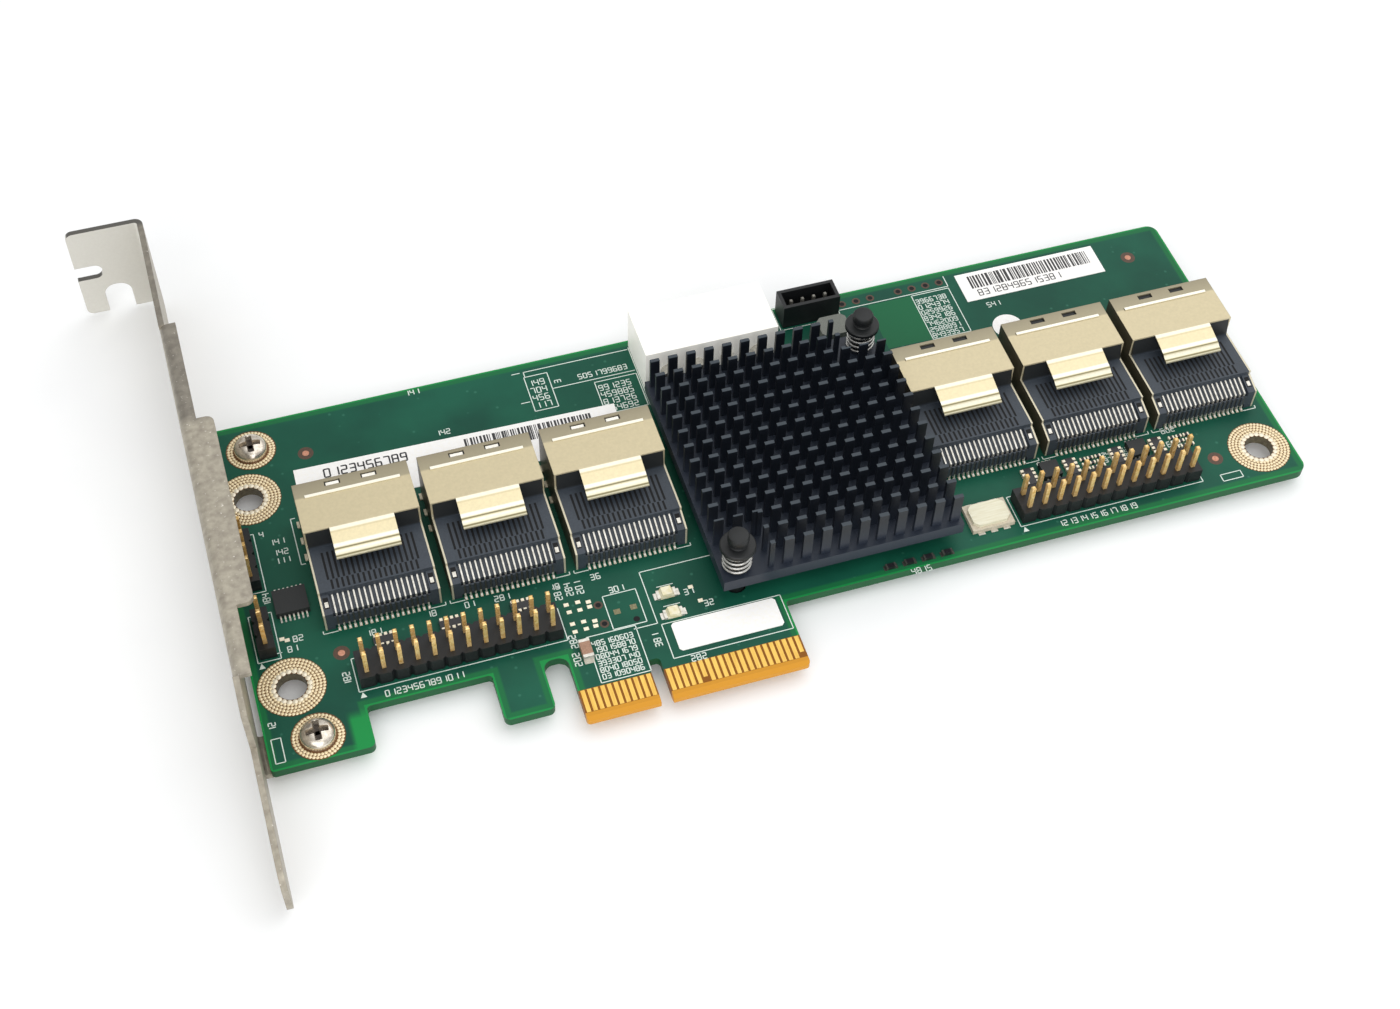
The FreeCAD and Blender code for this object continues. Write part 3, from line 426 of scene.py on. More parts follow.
def solder_mask(colours, mask):
    """Green lacquer: deep over copper, bright along the bare rim, amber between the contacts."""
    add, coords = new_material("solder_mask_green")
    left, low, _ = board_origin().tolist()
    right, high, _ = corners("circuit_board")[1].tolist()
    long_edge, foot_end = low + mask.edge_low, left + mask.foot_end
    x, y, _ = add("SeparateXYZ", coords).outputs
    facing = add("SeparateXYZ", add("NewGeometry").outputs["Normal"]).outputs[2]

    # Depth inside the board's edge: the deepest of four overlapping rectangles.
    depth = None
    for x0, x1, y0 in ((left, right, long_edge), (left, foot_end, low + mask.foot_low),
                       (left + mask.guide_left, left + mask.guide_right, low + mask.guide_low),
                       (left + mask.tab_left, left + mask.tab_right, low)):
        near = add("Math", x, x0, operation="SUBTRACT")
        for far, close in ((x1, x), (y, y0), (high, y)):
            side = add("Math", far, close, operation="SUBTRACT")
            near = add("Math", near, side, operation="MINIMUM")
        depth = near if depth is None else add("Math", depth, near, operation="MAXIMUM")

    # The very edge and the right margin of the foot let light through.
    rim = add("MapRange", depth, mask.border, mask.border + mask.fade, 1, 0)
    edge = add("Math", depth, mask.edge, operation="LESS_THAN")
    glow = add("MapRange", y, long_edge - FOOT_RISE * MM, long_edge, 1, 0)
    start = foot_end - mask.foot_glow
    margin = add("MapRange", x, start, start + FOOT_FADE * MM)
    on_foot = add("Math", x, foot_end + FOOT_SLACK * MM, operation="LESS_THAN")
    for share in (margin, on_foot):
        glow = add("Math", glow, share, operation="MULTIPLY")
    rim, bright = [add("Math", share, glow, operation="MAXIMUM") for share in (rim, edge)]
    border = add("Mix", bright, colours.rim, colours.glow, **RGBA)

    cloud = add("TexNoise", coords, {"Scale": per_mm(CLOUD), "Detail": 4.0})
    clear = add("MapRange", cloud, *CLOUD_CORE)
    tone = add("Mix", clear, colours.mask, colours.mask_light, **RGBA)
    # Tented vias are drawn on a cell that is coarser than on a real board, so that they show.
    via = add("TexVoronoi", coords, {"Scale": per_mm(VIA_CELL)})
    dot = add("MapRange", via, *VIA_EDGE, VIA_SHARE, 0)
    # One area beside the spare hole row has no copper under it.
    across, along = [
        add("Math", axis, origin + middle * MM, half * MM, operation="COMPARE")
        for axis, origin, middle, half in zip((x, y), (left, low), PATCH_MIDDLE, PATCH_HALF)]
    patch = add("Math", across, along, operation="MULTIPLY")
    # The cut side of the board is darker than its faces.
    level = add("Math", facing, operation="ABSOLUTE")
    wall = add("Math", level, 0.5, operation="LESS_THAN")
    # Bare laminate at the contacts, paler on the bevel.
    middle, half = (mask.tab_left + mask.tab_right) / 2, (mask.tab_right - mask.tab_left) / 2
    at_tab = add("Math", x, left + middle, half + TAB_SLACK * MM, operation="COMPARE")
    at_contacts = add("Math", y, low + mask.bare_top, operation="LESS_THAN")
    bare = add("Math", at_tab, at_contacts, operation="MULTIPLY")
    at_bevel = add("Math", y, low + mask.bevel_top, operation="LESS_THAN")
    laminate = add("Mix", at_bevel, colours.resin, colours.bevel, **RGBA)
    for share, cover in ((dot, "#3F8069"), (patch, colours.patch), (rim, border), (wall, colours.wall),
                         (bare, laminate)):
        tone = add("Mix", share, tone, cover, **RGBA)

    skin = add("TexNoise", coords, {"Scale": per_mm(0.8), "Detail": 2.0})
    bump = add("Bump", {"Height": skin, "Strength": 0.2, "Distance": 0.01 * MM})
    shader = add("BsdfPrincipled", {"Base Color": tone, "Normal": bump, "Roughness": 0.42,
                                    "Specular IOR Level": 0.2})
    add("OutputMaterial", shader)


# Depths below the bracket's top end where the painted reflection on the ear starts, and heights where the
# painted shade on the flange starts
EAR, SHOULDER = (2.2, 1.0), (57.0, 59.5)


def bracket_sheet(colours):
    """Zinc-plated steel: blotched grey-brown sheet with fine pale specks, and a painted bright, smooth
    reflection on the ear.
    """
    add, coords = new_material("zinc_plated_sheet")
    low, top = float(board_origin()[1]), float(corners("slot_bracket")[1][1])
    y = add("SeparateXYZ", coords).outputs[1]
    facing = add("SeparateXYZ", add("NewGeometry").outputs["Normal"]).outputs[2]
    fleck = add("TexNoise", coords, {"Scale": per_mm(0.5), "Detail": 4.0, "Roughness": 0.65})
    spark = add("MapRange", fleck, 0.64, 0.72)
    blot = add("TexNoise", coords, {"Scale": per_mm(1.1), "Detail": 4.0})
    spread = add("MapRange", blot, *CORE)
    tone = add("Mix", spread, "#958D80", colours.sheet, **RGBA)
    # Painted shade: the narrow flange above its shoulder is darker on its upper face.
    upward = add("MapRange", facing, *CORE)
    out = add("MapRange", y, *(low + height * MM for height in SHOULDER))
    out = add("Math", out, upward, operation="MULTIPLY")
    dimmed = add("Mix", spread, "#7A746A", "#918B7F", **RGBA)
    # Painted reflection on the ear: bright and smooth, with a painted dark reflection on its upward-facing
    # upper edge.
    edge_reflection = add("MapRange", facing, 0.5, 0.7)
    smooth = add("Mix", fleck, "#D3D0C7", colours.ear, **RGBA)
    smooth = add("Mix", edge_reflection, smooth, "#5E5C57", **RGBA)
    on_ear = add("MapRange", y, *(top - depth * MM for depth in EAR))
    for share, cover in ((out, dimmed), (spark, "#E6E1D6"), (on_ear, smooth)):
        tone = add("Mix", share, tone, cover, **RGBA)
    soft = add("Bevel", {"Radius": 0.15 * MM})
    bump = add("Bump", {"Height": fleck, "Normal": soft, "Strength": 0.2, "Distance": 0.02 * MM})
    shader = add("BsdfPrincipled", {"Base Color": tone, "Normal": bump, "Roughness": 0.42, "Metallic": 0.35})
    add("OutputMaterial", shader)


# Length of a socket's shell, depth down to its flat sheet and height below which the plates' cut edges get a
# painted highlight
SHELL_LENGTH, SHELL_RIB, SHELL_LOW = 14.2, 0.12, 6.2
# Painted highlights and shade along the shell from its tongue's lip (0) to its mouth (1): lip, crease,
# tongue, sheet and pressed edge
SHELL_LIGHT_BANDS = ((0.011, "#C6BFA2"), (0.019, "#7C744E"), (0.028, "#7C744E"), (0.038, "#EDE6C8"),
               (0.068, "#FFFBE6"), (0.080, "#E2DABA"), (0.090, "#857B54"), (0.098, "#857B54"),
               (0.108, "#ECE4C6"), (0.120, "#FFFCEE"), (0.144, "#FFFCEE"), (0.160, "#E9DCB4"),
               (0.270, "#EADCB4"), (0.290, "#D6C89E"), (0.306, "#FBF4DE"), (0.336, "#FBF4DE"),
               (0.815, "#A89F85"))
SHEET_START, SHEET_END = 0.345, 0.79


def nickel_shell(colours):
    """Satin nickel: warm sheet with a faint rolled grain, painted highlights on the folds, rib and cut edges,
    and painted shade on the left side plates and at the mouth.
    """
    add, coords = new_material("satin_nickel_sheet")
    mouth, top = corners("sas_shell_1")[1][1:].tolist()
    _, y, z = add("SeparateXYZ", coords).outputs
    facing = add("SeparateXYZ", add("NewGeometry").outputs["Normal"]).outputs[0]
    share = add("MapRange", y, mouth - SHELL_LENGTH * MM, mouth)
    tone = add("ValToRGB", share)
    stops = tone.color_ramp.elements
    # Ends of the ramp: the tongue's lip, and painted shade at the mouth.
    stops[0].color, stops[1].color = linear("#D0CAAE"), linear("#968D76")
    for place, code in SHELL_LIGHT_BANDS:
        stops.new(place).color = linear(code)
    for place in (SHEET_START, SHEET_END):
        stops.new(place).color = colours.shell
    grain = add("TexNoise", coords, {"Scale": per_mm(0.45), "Detail": 3.0})
    dimmed = add("MapRange", grain, *CORE, 0.13, 0)
    # Painted highlights on the pressed rib, which stands above the sheet, and on the cut edges of the side
    # plates; painted shade on the plates' left face.
    rib_highlight = add("Math", z, top - SHELL_RIB * MM, operation="GREATER_THAN")
    low = add("Math", z, float(board_origin()[2]) + SHELL_LOW * MM, operation="LESS_THAN")
    plate = add("Math", facing, -0.7, operation="LESS_THAN")
    for share, cover in ((dimmed, "#8C8468"), (rib_highlight, "#FFFAE9"), (low, "#D5CDB4"), (plate, colours.shell_side_shade)):
        tone = add("Mix", share, tone, cover, **RGBA)
    soft = add("Bevel", {"Radius": 0.12 * MM})
    bump = add("Bump", {"Height": grain, "Normal": soft, "Strength": 0.12, "Distance": 0.004 * MM})
    shader = add("BsdfPrincipled", {"Base Color": tone, "Normal": bump, "Roughness": 0.4, "Metallic": 0.4})
    add("OutputMaterial", shader)


# Painted light lifts the shade between the fins from above the heat sink's foot to below its top; a painted
# sheen lies on the very top
LIFT_LOW, LIFT_HIGH, TOP_SHEEN = 2.0, 1.5, (0.12, 0.04)


def anodised_black(colours):
    """Black anodised aluminium: blue-black with a grey bloom, painted light between the fins, and a painted
    sheen on the fin tops.
    """
    add, coords = new_material("anodised_aluminium")
    low, top = corners("heat_sink")[:, 2].tolist()
    z = add("SeparateXYZ", coords).outputs[2]
    rise = add("MapRange", z, low + LIFT_LOW * MM, top - LIFT_HIGH * MM)
    top_sheen = add("MapRange", z, *(top - depth * MM for depth in TOP_SHEEN))
    bloom = add("TexNoise", coords, {"Scale": per_mm(0.6), "Detail": 3.0})
    tone = add("Mix", bloom, colours.sink, "#151A22", **RGBA)
    # Painted light: the fins are lighter lower down, to lift the shade between them; a painted sheen lies on
    # their tops.
    tone = add("Mix", rise, "#272E3A", tone, **RGBA)
    tone = add("Mix", top_sheen, tone, colours.fin_top_sheen, **RGBA)
    bump = add("Bump", {"Height": bloom, "Strength": 0.2, "Distance": 0.01 * MM})
    shader = add("BsdfPrincipled", {"Base Color": tone, "Normal": bump, "Roughness": 0.42,
                                    "Specular IOR Level": 0.4})
    add("OutputMaterial", shader)


WALL_SHADE_FADE = (5.45, 5.9)  # heights above the board at which a socket's deck ends and the painted shade on its wall starts


def socket_moulding(colours):
    """Glass-filled plastic: slate deck with a fine matt grain, and painted shade on the walls under the
    shell.
    """
    add, coords = new_material("glass_filled_plastic")
    z = add("SeparateXYZ", coords).outputs[2]
    face = float(board_origin()[2])
    wall = add("MapRange", z, *(face + height * MM for height in WALL_SHADE_FADE))
    grain = add("TexNoise", coords, {"Scale": per_mm(0.25), "Detail": 3.0})
    tone = add("Mix", grain, "#2D333B", colours.housing, **RGBA)
    # Painted shade on the walls under the shell.
    tone = add("Mix", wall, tone, "#14181A", **RGBA)
    bump = add("Bump", {"Height": grain, "Distance": 0.006 * MM})
    shader = add("BsdfPrincipled", {"Base Color": tone, "Normal": bump, "Roughness": 0.5})
    add("OutputMaterial", shader)


def all_finishes(colours, mask):
    """Makes every finish. Each comment says what the tones and the grain give the eye."""
    solder_mask(colours, mask)
    bracket_sheet(colours)
    nickel_shell(colours)
    anodised_black(colours)
    socket_moulding(colours)
    # bright yellow plating with faint wipe marks across the strips
    two_tone("hard_gold", colours.gold, "#DDAD48", 0.4, 0.32, 0.4, stretch=(1, 0.1, 1))
    # orange-brown copper that shows between the solder dots
    two_tone("pad_ground", "#7E5428", "#5C3A18", 0.35, 0.45, 0.3)
    # cream solder with a slightly uneven skin
    two_tone("reflowed_solder", "#FBF3DF", "#E9DCBF", 0.3, 0.3, 0.25, 0.004)
    # pale golden solder of the ring pads
    two_tone("ring_solder", "#FFF1D0", "#EBD3A2", 0.3, 0.35, 0.3, 0.004)
    # nickel with a blurred mirror look
    two_tone("turned_nickel", "#EFE7DA", "#C9BFB0", 0.6, 0.24, 0.85)
    # matt chip resin with tiny pale specks
    two_tone("chip_resin", "#272A2B", "#191B1C", 0.12, 0.55, 0.0, 0.004)
    # soft grey silicone
    two_tone("thermal_silicone", "#8F959A", "#7C8287", 0.3, 0.7)
    # black nylon, a little shiny where it was moulded
    two_tone("moulded_black_nylon", "#111517", "#090C0D", 0.5, 0.5)
    # drawn spring wire
    two_tone("spring_wire", "#D9D8D4", "#A8A7A4", 0.25, 0.25, 0.8)
    # dull black header strip
    two_tone("header_plastic", "#14171A", "#0C0E10", 0.3, 0.5, 0.0, 0.004)
    # thin gold on square pins
    two_tone("gold_flash_pin", "#FFDFA2", "#D9A856", 0.5, 0.26, 0.5)
    # tinned brass, pale and slightly cloudy
    two_tone("tinned_brass", "#E6E3DA", "#BDB9AE", 0.5, 0.28, 0.6)
    # uncoloured nylon, milky with faint clouds; a painted glow stands in for light that spreads inside it
    two_tone("uncoloured_nylon", "#FFFEF8", "#F8F5EA", 2.5, 0.45, glow=0.18)
    # grey pressed powder
    two_tone("ferrite_powder", "#858880", "#696C66", 0.15, 0.7, 0.0, 0.008)
    # cream lens with yellow clouds
    two_tone("cast_epoxy", "#F6F1DC", "#E4D8A6", 0.8, 0.25)
    # tan ceramic
    two_tone("ceramic_tan", "#B08A72", "#94705A", 0.2, 0.5)
    # glazed black film on ceramic
    two_tone("resistor_glaze", "#26262A", "#17171A", 0.3, 0.3)
    # uncoated paper with a barely visible tooth and a painted glow
    two_tone("label_paper", "#FDFCFA", "#F4F2EE", 0.6, 0.6, 0.0, 0.003, glow=0.08)
    # pale cream ceramic
    two_tone("fired_ceramic", "#D9CFBC", "#C4B8A2", 0.3, 0.5)
    # pale lid, brushed one way
    two_tone("brushed_lid", "#EAE7D1", "#DDD7BA", 0.3, 0.4, 0.1, stretch=(0.1, 1, 1))
    # white ink with slight gaps in its cover
    two_tone("white_ink", colours.ink, "#D6E6DA", 0.3, 0.55)
    # dark grey print on the labels
    two_tone("label_print", "#3C3C3E", "#262628", 0.3, 0.6)
    # reddish bare copper under thin lacquer
    two_tone("bare_copper", "#D79C82", "#B47458", 0.3, 0.4, 0.2)
    # the red-brown ring of lacquer round bare copper
    two_tone("copper_halo", "#5C3D2A", "#42372A", 0.3, 0.45)
    # tin, painted darker for the shade it lies in
    two_tone("tin_in_shade", "#8E8C84", "#6A6862", 0.3, 0.4, 0.3)
    # tin in the shade of the comb and under the heat sink
    two_tone("shaded_tin", "#55554F", "#3A3A36", 0.3, 0.45, 0.3)
    # plating inside the mounting holes, painted brown-grey for the shade inside them
    two_tone("plating_in_shade", "#7A7158", "#544C3A", 0.4, 0.4, 0.3)
    # tarnished pads of an empty part
    two_tone("tarnished_pad", "#8F8A68", "#6C6648", 0.3, 0.45, 0.2)
    # brown shadow at the bottom of a screw's cross
    two_tone("recess_shadow", "#4A3F35", "#2A231D", 0.3, 0.5)
    # painted glints of reflected light in the windows of a shell, with a glow
    two_tone("window_light", "#F6F4EC", "#D8D4C6", 0.5, 0.5, glow=0.25)
    # the dark inside of slits and holes
    two_tone("shadowed_gap", "#0C0D10", "#050608", 0.3, 0.8)


NODE_FINISHES = {
    "circuit_board": "solder_mask_green", "edge_contacts_front": "hard_gold",
    "edge_contacts_back": "hard_gold", "ring_pads": "pad_ground", "slot_bracket": "zinc_plated_sheet",
    "bracket_screws": "turned_nickel", "heat_sink": "anodised_aluminium", "expander_chip": "chip_resin",
    "thermal_pad": "thermal_silicone", "push_pins": "moulded_black_nylon", "push_pin_springs": "spring_wire",
    "aux_header_housing": "header_plastic", "aux_header_pins": "tin_in_shade",
    "power_inlet_housing": "uncoloured_nylon", "power_inlet_pins": "tinned_brass",
    "power_inductor": "ferrite_powder", "status_lights": "cast_epoxy", "bulk_capacitor": "ceramic_tan",
    "chip_resistors": "resistor_glaze", "resistor_arrays": "resistor_glaze", "part_label": "label_paper",
    "address_label": "label_paper", "model_label": "label_paper", "logic_chip": "chip_resin",
    "logic_chip_leads": "tinned_brass", "driver_chips": "chip_resin", "driver_chip_leads": "tinned_brass",
    "oscillator_base": "fired_ceramic", "oscillator_lid": "brushed_lid",
}
for name in HEADERS:
    NODE_FINISHES |= {f"{name}_base": "header_plastic", f"{name}_pins": "gold_flash_pin"}
for i in SOCKETS:
    NODE_FINISHES |= {f"sas_housing_{i}": "glass_filled_plastic", f"sas_shell_{i}": "satin_nickel_sheet",
                      f"sas_contacts_{i}": "tinned_brass"}


# Operators

class CARD_OT_finishes(bpy.types.Operator):
    """Makes the finishes and gives each CAD node its own"""
    bl_idname = "card.finishes"
    bl_label = "Finishes"

    def execute(self, context):
        all_finishes(context.scene.card_colours, context.scene.card_mask)
        for node, finish in NODE_FINISHES.items():
            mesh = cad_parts[node].data
            mesh.materials.clear()
            mesh.materials.append(bpy.data.materials[finish])
        return {"FINISHED"}


class CARD_OT_board_print(bpy.types.Operator):
    """Adds the printed lines, plain numbers and triangles of the board"""
    bl_idname = "card.board_print"
    bl_label = "Board print"

    boxes = ((60.1, 6.6, 78.8, 12.9), (53.0, 14.1, 58.2, 20.3), (0.9, 5.9, 2.3, 10.0),
             (153.6, 13.3, 157.1, 14.6), (52.7, 58.4, 56.6, 65.9),
             (63.5, 54.6, 70.6, 61.6), (120.4, 54.6, 127.2, 64.9), (48.7, 5.6, 56.3, 13.9))
    lines = (((52.9, 67.0), (70.7, 67.0)), ((52.9, 67.0), (52.9, 65.9)), ((50.9, 67.0), (52.3, 67.0)),
             ((56.6, 62.3), (70.6, 62.3)), ((50.9, 60.6), (52.4, 60.6)), ((70.9, 67.4), (70.9, 54.4)),
             ((107.5, 65.3), (127.3, 65.3)), ((127.3, 65.3), (127.3, 67.7)), ((59.6, 23.0), (72.0, 23.0)),
             ((59.6, 23.0), (59.6, 13.3)), ((55.9, 13.3), (59.6, 13.3)), ((61.3, 19.6), (63.9, 19.6)),
             ((61.3, 15.9), (63.9, 15.9)), ((4.2, 24.3), (5.2, 24.3)))
    outlined = ("led_header_left_base", "led_header_right_base", "side_header_four_base",
                "side_header_three_base", "aux_header_housing", "power_inductor")
    # Sockets show the corners of their outlines past the rear face and beside the mouth.
    socket_rear, socket_side, socket_reach, side_length, side_hook = 0.55, 0.75, 2.4, 9.0, 0.7
    numbers = (("181", 17.7, 23.4), ("281", 37.4, 24.0), ("82", 7.2, 25.6), ("81", 6.1, 24.0),
               ("18", 27.0, 24.2), ("01", 32.9, 24.2), ("301", 54.3, 20.6), ("31", 65.1, 17.0),
               ("32", 67.4, 14.2), ("282", 62.6, 5.3), ("58", 160.0, 14.9), ("602", 148.4, 25.0),
               ("141", 33.4, 67.5), ("142", 36.3, 57.9), ("541", 132.1, 58.8), ("01234567891011", 18.2, 12.4),
               ("581", 109.8, 21.4), ("582", 126.4, 24.2), ("4815", 99.6, 10.6), ("683", 148.2, 22.2),
               ("1213141516171819", 124.9, 12.5), ("11", 12.4, 31.6), ("4", 5.8, 46.0), ("141", 7.0, 44.0),
               ("142", 7.2, 41.9), ("111", 7.2, 40.3), ("18", 45.9, 23.6), ("36", 52.3, 23.7))
    upright = (("184", 5.2, 33.1), ("182", 13.9, 15.9), ("12", 2.0, 11.4), ("381", 59.2, 9.3),
               ("281", 47.2, 21.6), ("284", 49.0, 21.9), ("201", 50.6, 21.8), ("282", 47.2, 12.6),
               ("202", 46.9, 9.4), ("3", 58.3, 63.3))
    blocks = ((53.1, 58.9, 56.4, 65.6, 1.15), (61.3, 63.0, 70.3, 65.8, 1.0), (63.9, 55.0, 70.3, 61.4, 1.1),
              (120.7, 54.9, 127.0, 64.6, 0.95), (49.2, 6.1, 56.0, 13.6, 0.85),
              (136.5, 22.2, 144.0, 24.6, 0.8))
    height, seed = 1.0, 11
    tip, tip_gap = 0.95, 0.15

    def execute(self, context):
        ink = in_mm(context.scene.card_print)
        ends = [end for box in self.boxes for end in frame_lines(*box)] + list(self.lines)
        for node in self.outlined:
            ends += frame_lines(*node_rectangle(node, ink.margin))
        for i in SOCKETS:
            x0, y0, x1, _ = node_rectangle(f"sas_shell_{i}")
            low = y0 - self.socket_rear
            for x, way in ((x0, 1), (x1, -1)):
                ends += [((x, low), (x + way * self.socket_reach, low)), ((x, low), (x, y0))]
        x0, _, _, y1 = node_rectangle("sas_shell_1", self.socket_side)
        low, hook = y1 - self.side_length, x0 + self.side_hook
        ends += [((x0, low), (x0, y1)), ((x0, low), (hook, low)), ((x0, y1), (hook, y1))]
        tips, half = [], self.tip / 2
        for node in self.outlined[:len(HEADERS)]:
            left, low, _, _ = node_rectangle(node, ink.margin)
            x, y = left + half, low - self.tip_gap
            tips.append([[(foot, y - self.tip), (x, y)] for foot in (x - half, x + half)])
        add_piece("board_lines", "white_ink", "white_label", strips(ends, ink.line, ink.lift),
                  raised(np.asarray(tips), ink.lift))

        rng = np.random.default_rng(self.seed)
        marks = [numerals(*number, self.height) for number in self.numbers]
        marks += [numerals(*number, self.height, upright=True) for number in self.upright]
        marks += [number_block(rng, *block) for block in self.blocks]
        add_piece("board_numbers", "white_ink", "white_label",
                  strips(np.concatenate(marks), ink.stroke, ink.lift))
        return {"FINISHED"}


class CARD_OT_plating(bpy.types.Operator):
    """Adds the dots and linings of the ring pads, spare holes, small pads, copper dots and the white spot"""
    bl_idname = "card.plating"
    bl_label = "Plating"

    mounts = ((5.45, 18.0), (5.45, 53.8), (162.2, 18.0))
    screws = ((7.5, 8.7), (7.5, 63.4))
    mount_rings = (3.12, 3.65, 4.18, 4.71)
    screw_rings = (3.05, 3.55)
    pad_top = 0.05
    dot_shoulder = (0.85, 0.65)  # as shares of a dot's radius and height
    rim_ring, rim_count, rim_dot, rim_sides = 2.68, 20, ((0.43, 0), (0.36, 0.06), (0, 0.1)), 12
    lining_r, lining_sides = 2.23, 40
    holes = ((108.4, 66.5), (110.95, 66.5), (113.5, 66.5), (118.6, 66.55), (121.1, 66.55), (123.6, 66.55),
             (126.1, 66.55), (52.0, 19.0), (52.0, 15.5))
    hole_ring = ((0.72, 0), (0.7, 0.03), (0.42, 0.03))
    hole_r, fan_hole_r, hole_sides = 0.46, 0.5, 20
    fiducials = ((15.65, 60.4), (13.5, 21.7), (159.9, 62.8), (154.4, 17.9))
    halo = ((1.25, 0.012), (0, 0.012))
    spot = ((0.54, 0.012), (0.5, 0.035), (0, 0.035))
    spot_sides = 24
    small_pads = ((47.4, 20.4), (49.2, 20.4), (50.75, 20.0), (50.7, 19.1), (47.5, 19.0), (49.15, 18.95),
                  (47.4, 16.8), (49.1, 16.75), (50.75, 16.4), (50.65, 15.5), (47.4, 15.35), (49.15, 15.4),
                  (5.6, 26.6), (6.3, 26.2), (66.3, 18.2), (67.0, 15.4))
    small_pad, fan_pad = (0.75, 0.6, 0.05), (1.0, 0.9, 0.04)
    fan_pads = ((54.4, 17.05), (57.0, 17.2))
    fan_hole = (56.85, 14.95)
    disc_place = (133.6, 53.9)
    disc_r, disc_sides = 2.6, 40

    def execute(self, context):
        fine, lift = in_mm(context.scene.card_fine), in_mm(context.scene.card_print).lift
        places = [circle(centre, r, int(2 * math.pi * r / fine.dot_pitch), self.pad_top)
                  for centres, radii in ((self.mounts, self.mount_rings), (self.screws, self.screw_rings))
                  for centre in centres for r in radii]
        wide, tall = self.dot_shoulder
        dome = [(fine.dot_r, 0), (fine.dot_r * wide, fine.dot_h * tall), (0, fine.dot_h)]
        dots = lathes(dome, fine.dot_sides, np.concatenate(places))
        add_piece("pad_dots", "ring_solder", "tinned_pad", dots, smooth=True)
        places = [circle(centre, self.rim_ring, self.rim_count, self.pad_top) for centre in self.mounts]
        rims = lathes(self.rim_dot, self.rim_sides, np.concatenate(places))
        add_piece("pad_rims", "reflowed_solder", "tinned_pad", rims, smooth=True)
        low, high = node_box("ring_pads")[:, 2]
        linings = lathes([(self.lining_r, high), (self.lining_r, low)], self.lining_sides, self.mounts)
        add_piece("hole_linings", "plating_in_shade", "tinned_pad", linings, smooth=True)

        rings = lathes(self.hole_ring, self.hole_sides, self.holes)
        add_piece("spare_hole_rings", "copper_halo", "gold_plate", rings)
        bores = [lathes([(r, lift), (0, lift)], self.hole_sides, places)
                 for r, places in ((self.hole_r, self.holes), (self.fan_hole_r, [self.fan_hole]))]
        add_piece("spare_holes", "shadowed_gap", "chip_black", *bores)
        rings, dots = [lathes(shape, self.spot_sides, self.fiducials) for shape in (self.halo, self.spot)]
        add_piece("fiducial_rings", "copper_halo", "green_board", rings)
        add_piece("fiducial_dots", "bare_copper", "gold_plate", dots)
        add_piece("bare_pads", "reflowed_solder", "tinned_pad", bricks(self.small_pads, self.small_pad))
        add_piece("fan_pads", "tarnished_pad", "tinned_pad", bricks(self.fan_pads, self.fan_pad))
        disc = lathes([(self.disc_r, lift), (0, lift)], self.disc_sides, [self.disc_place])
        add_piece("white_spot", "label_paper", "white_label", disc)
        return {"FINISHED"}


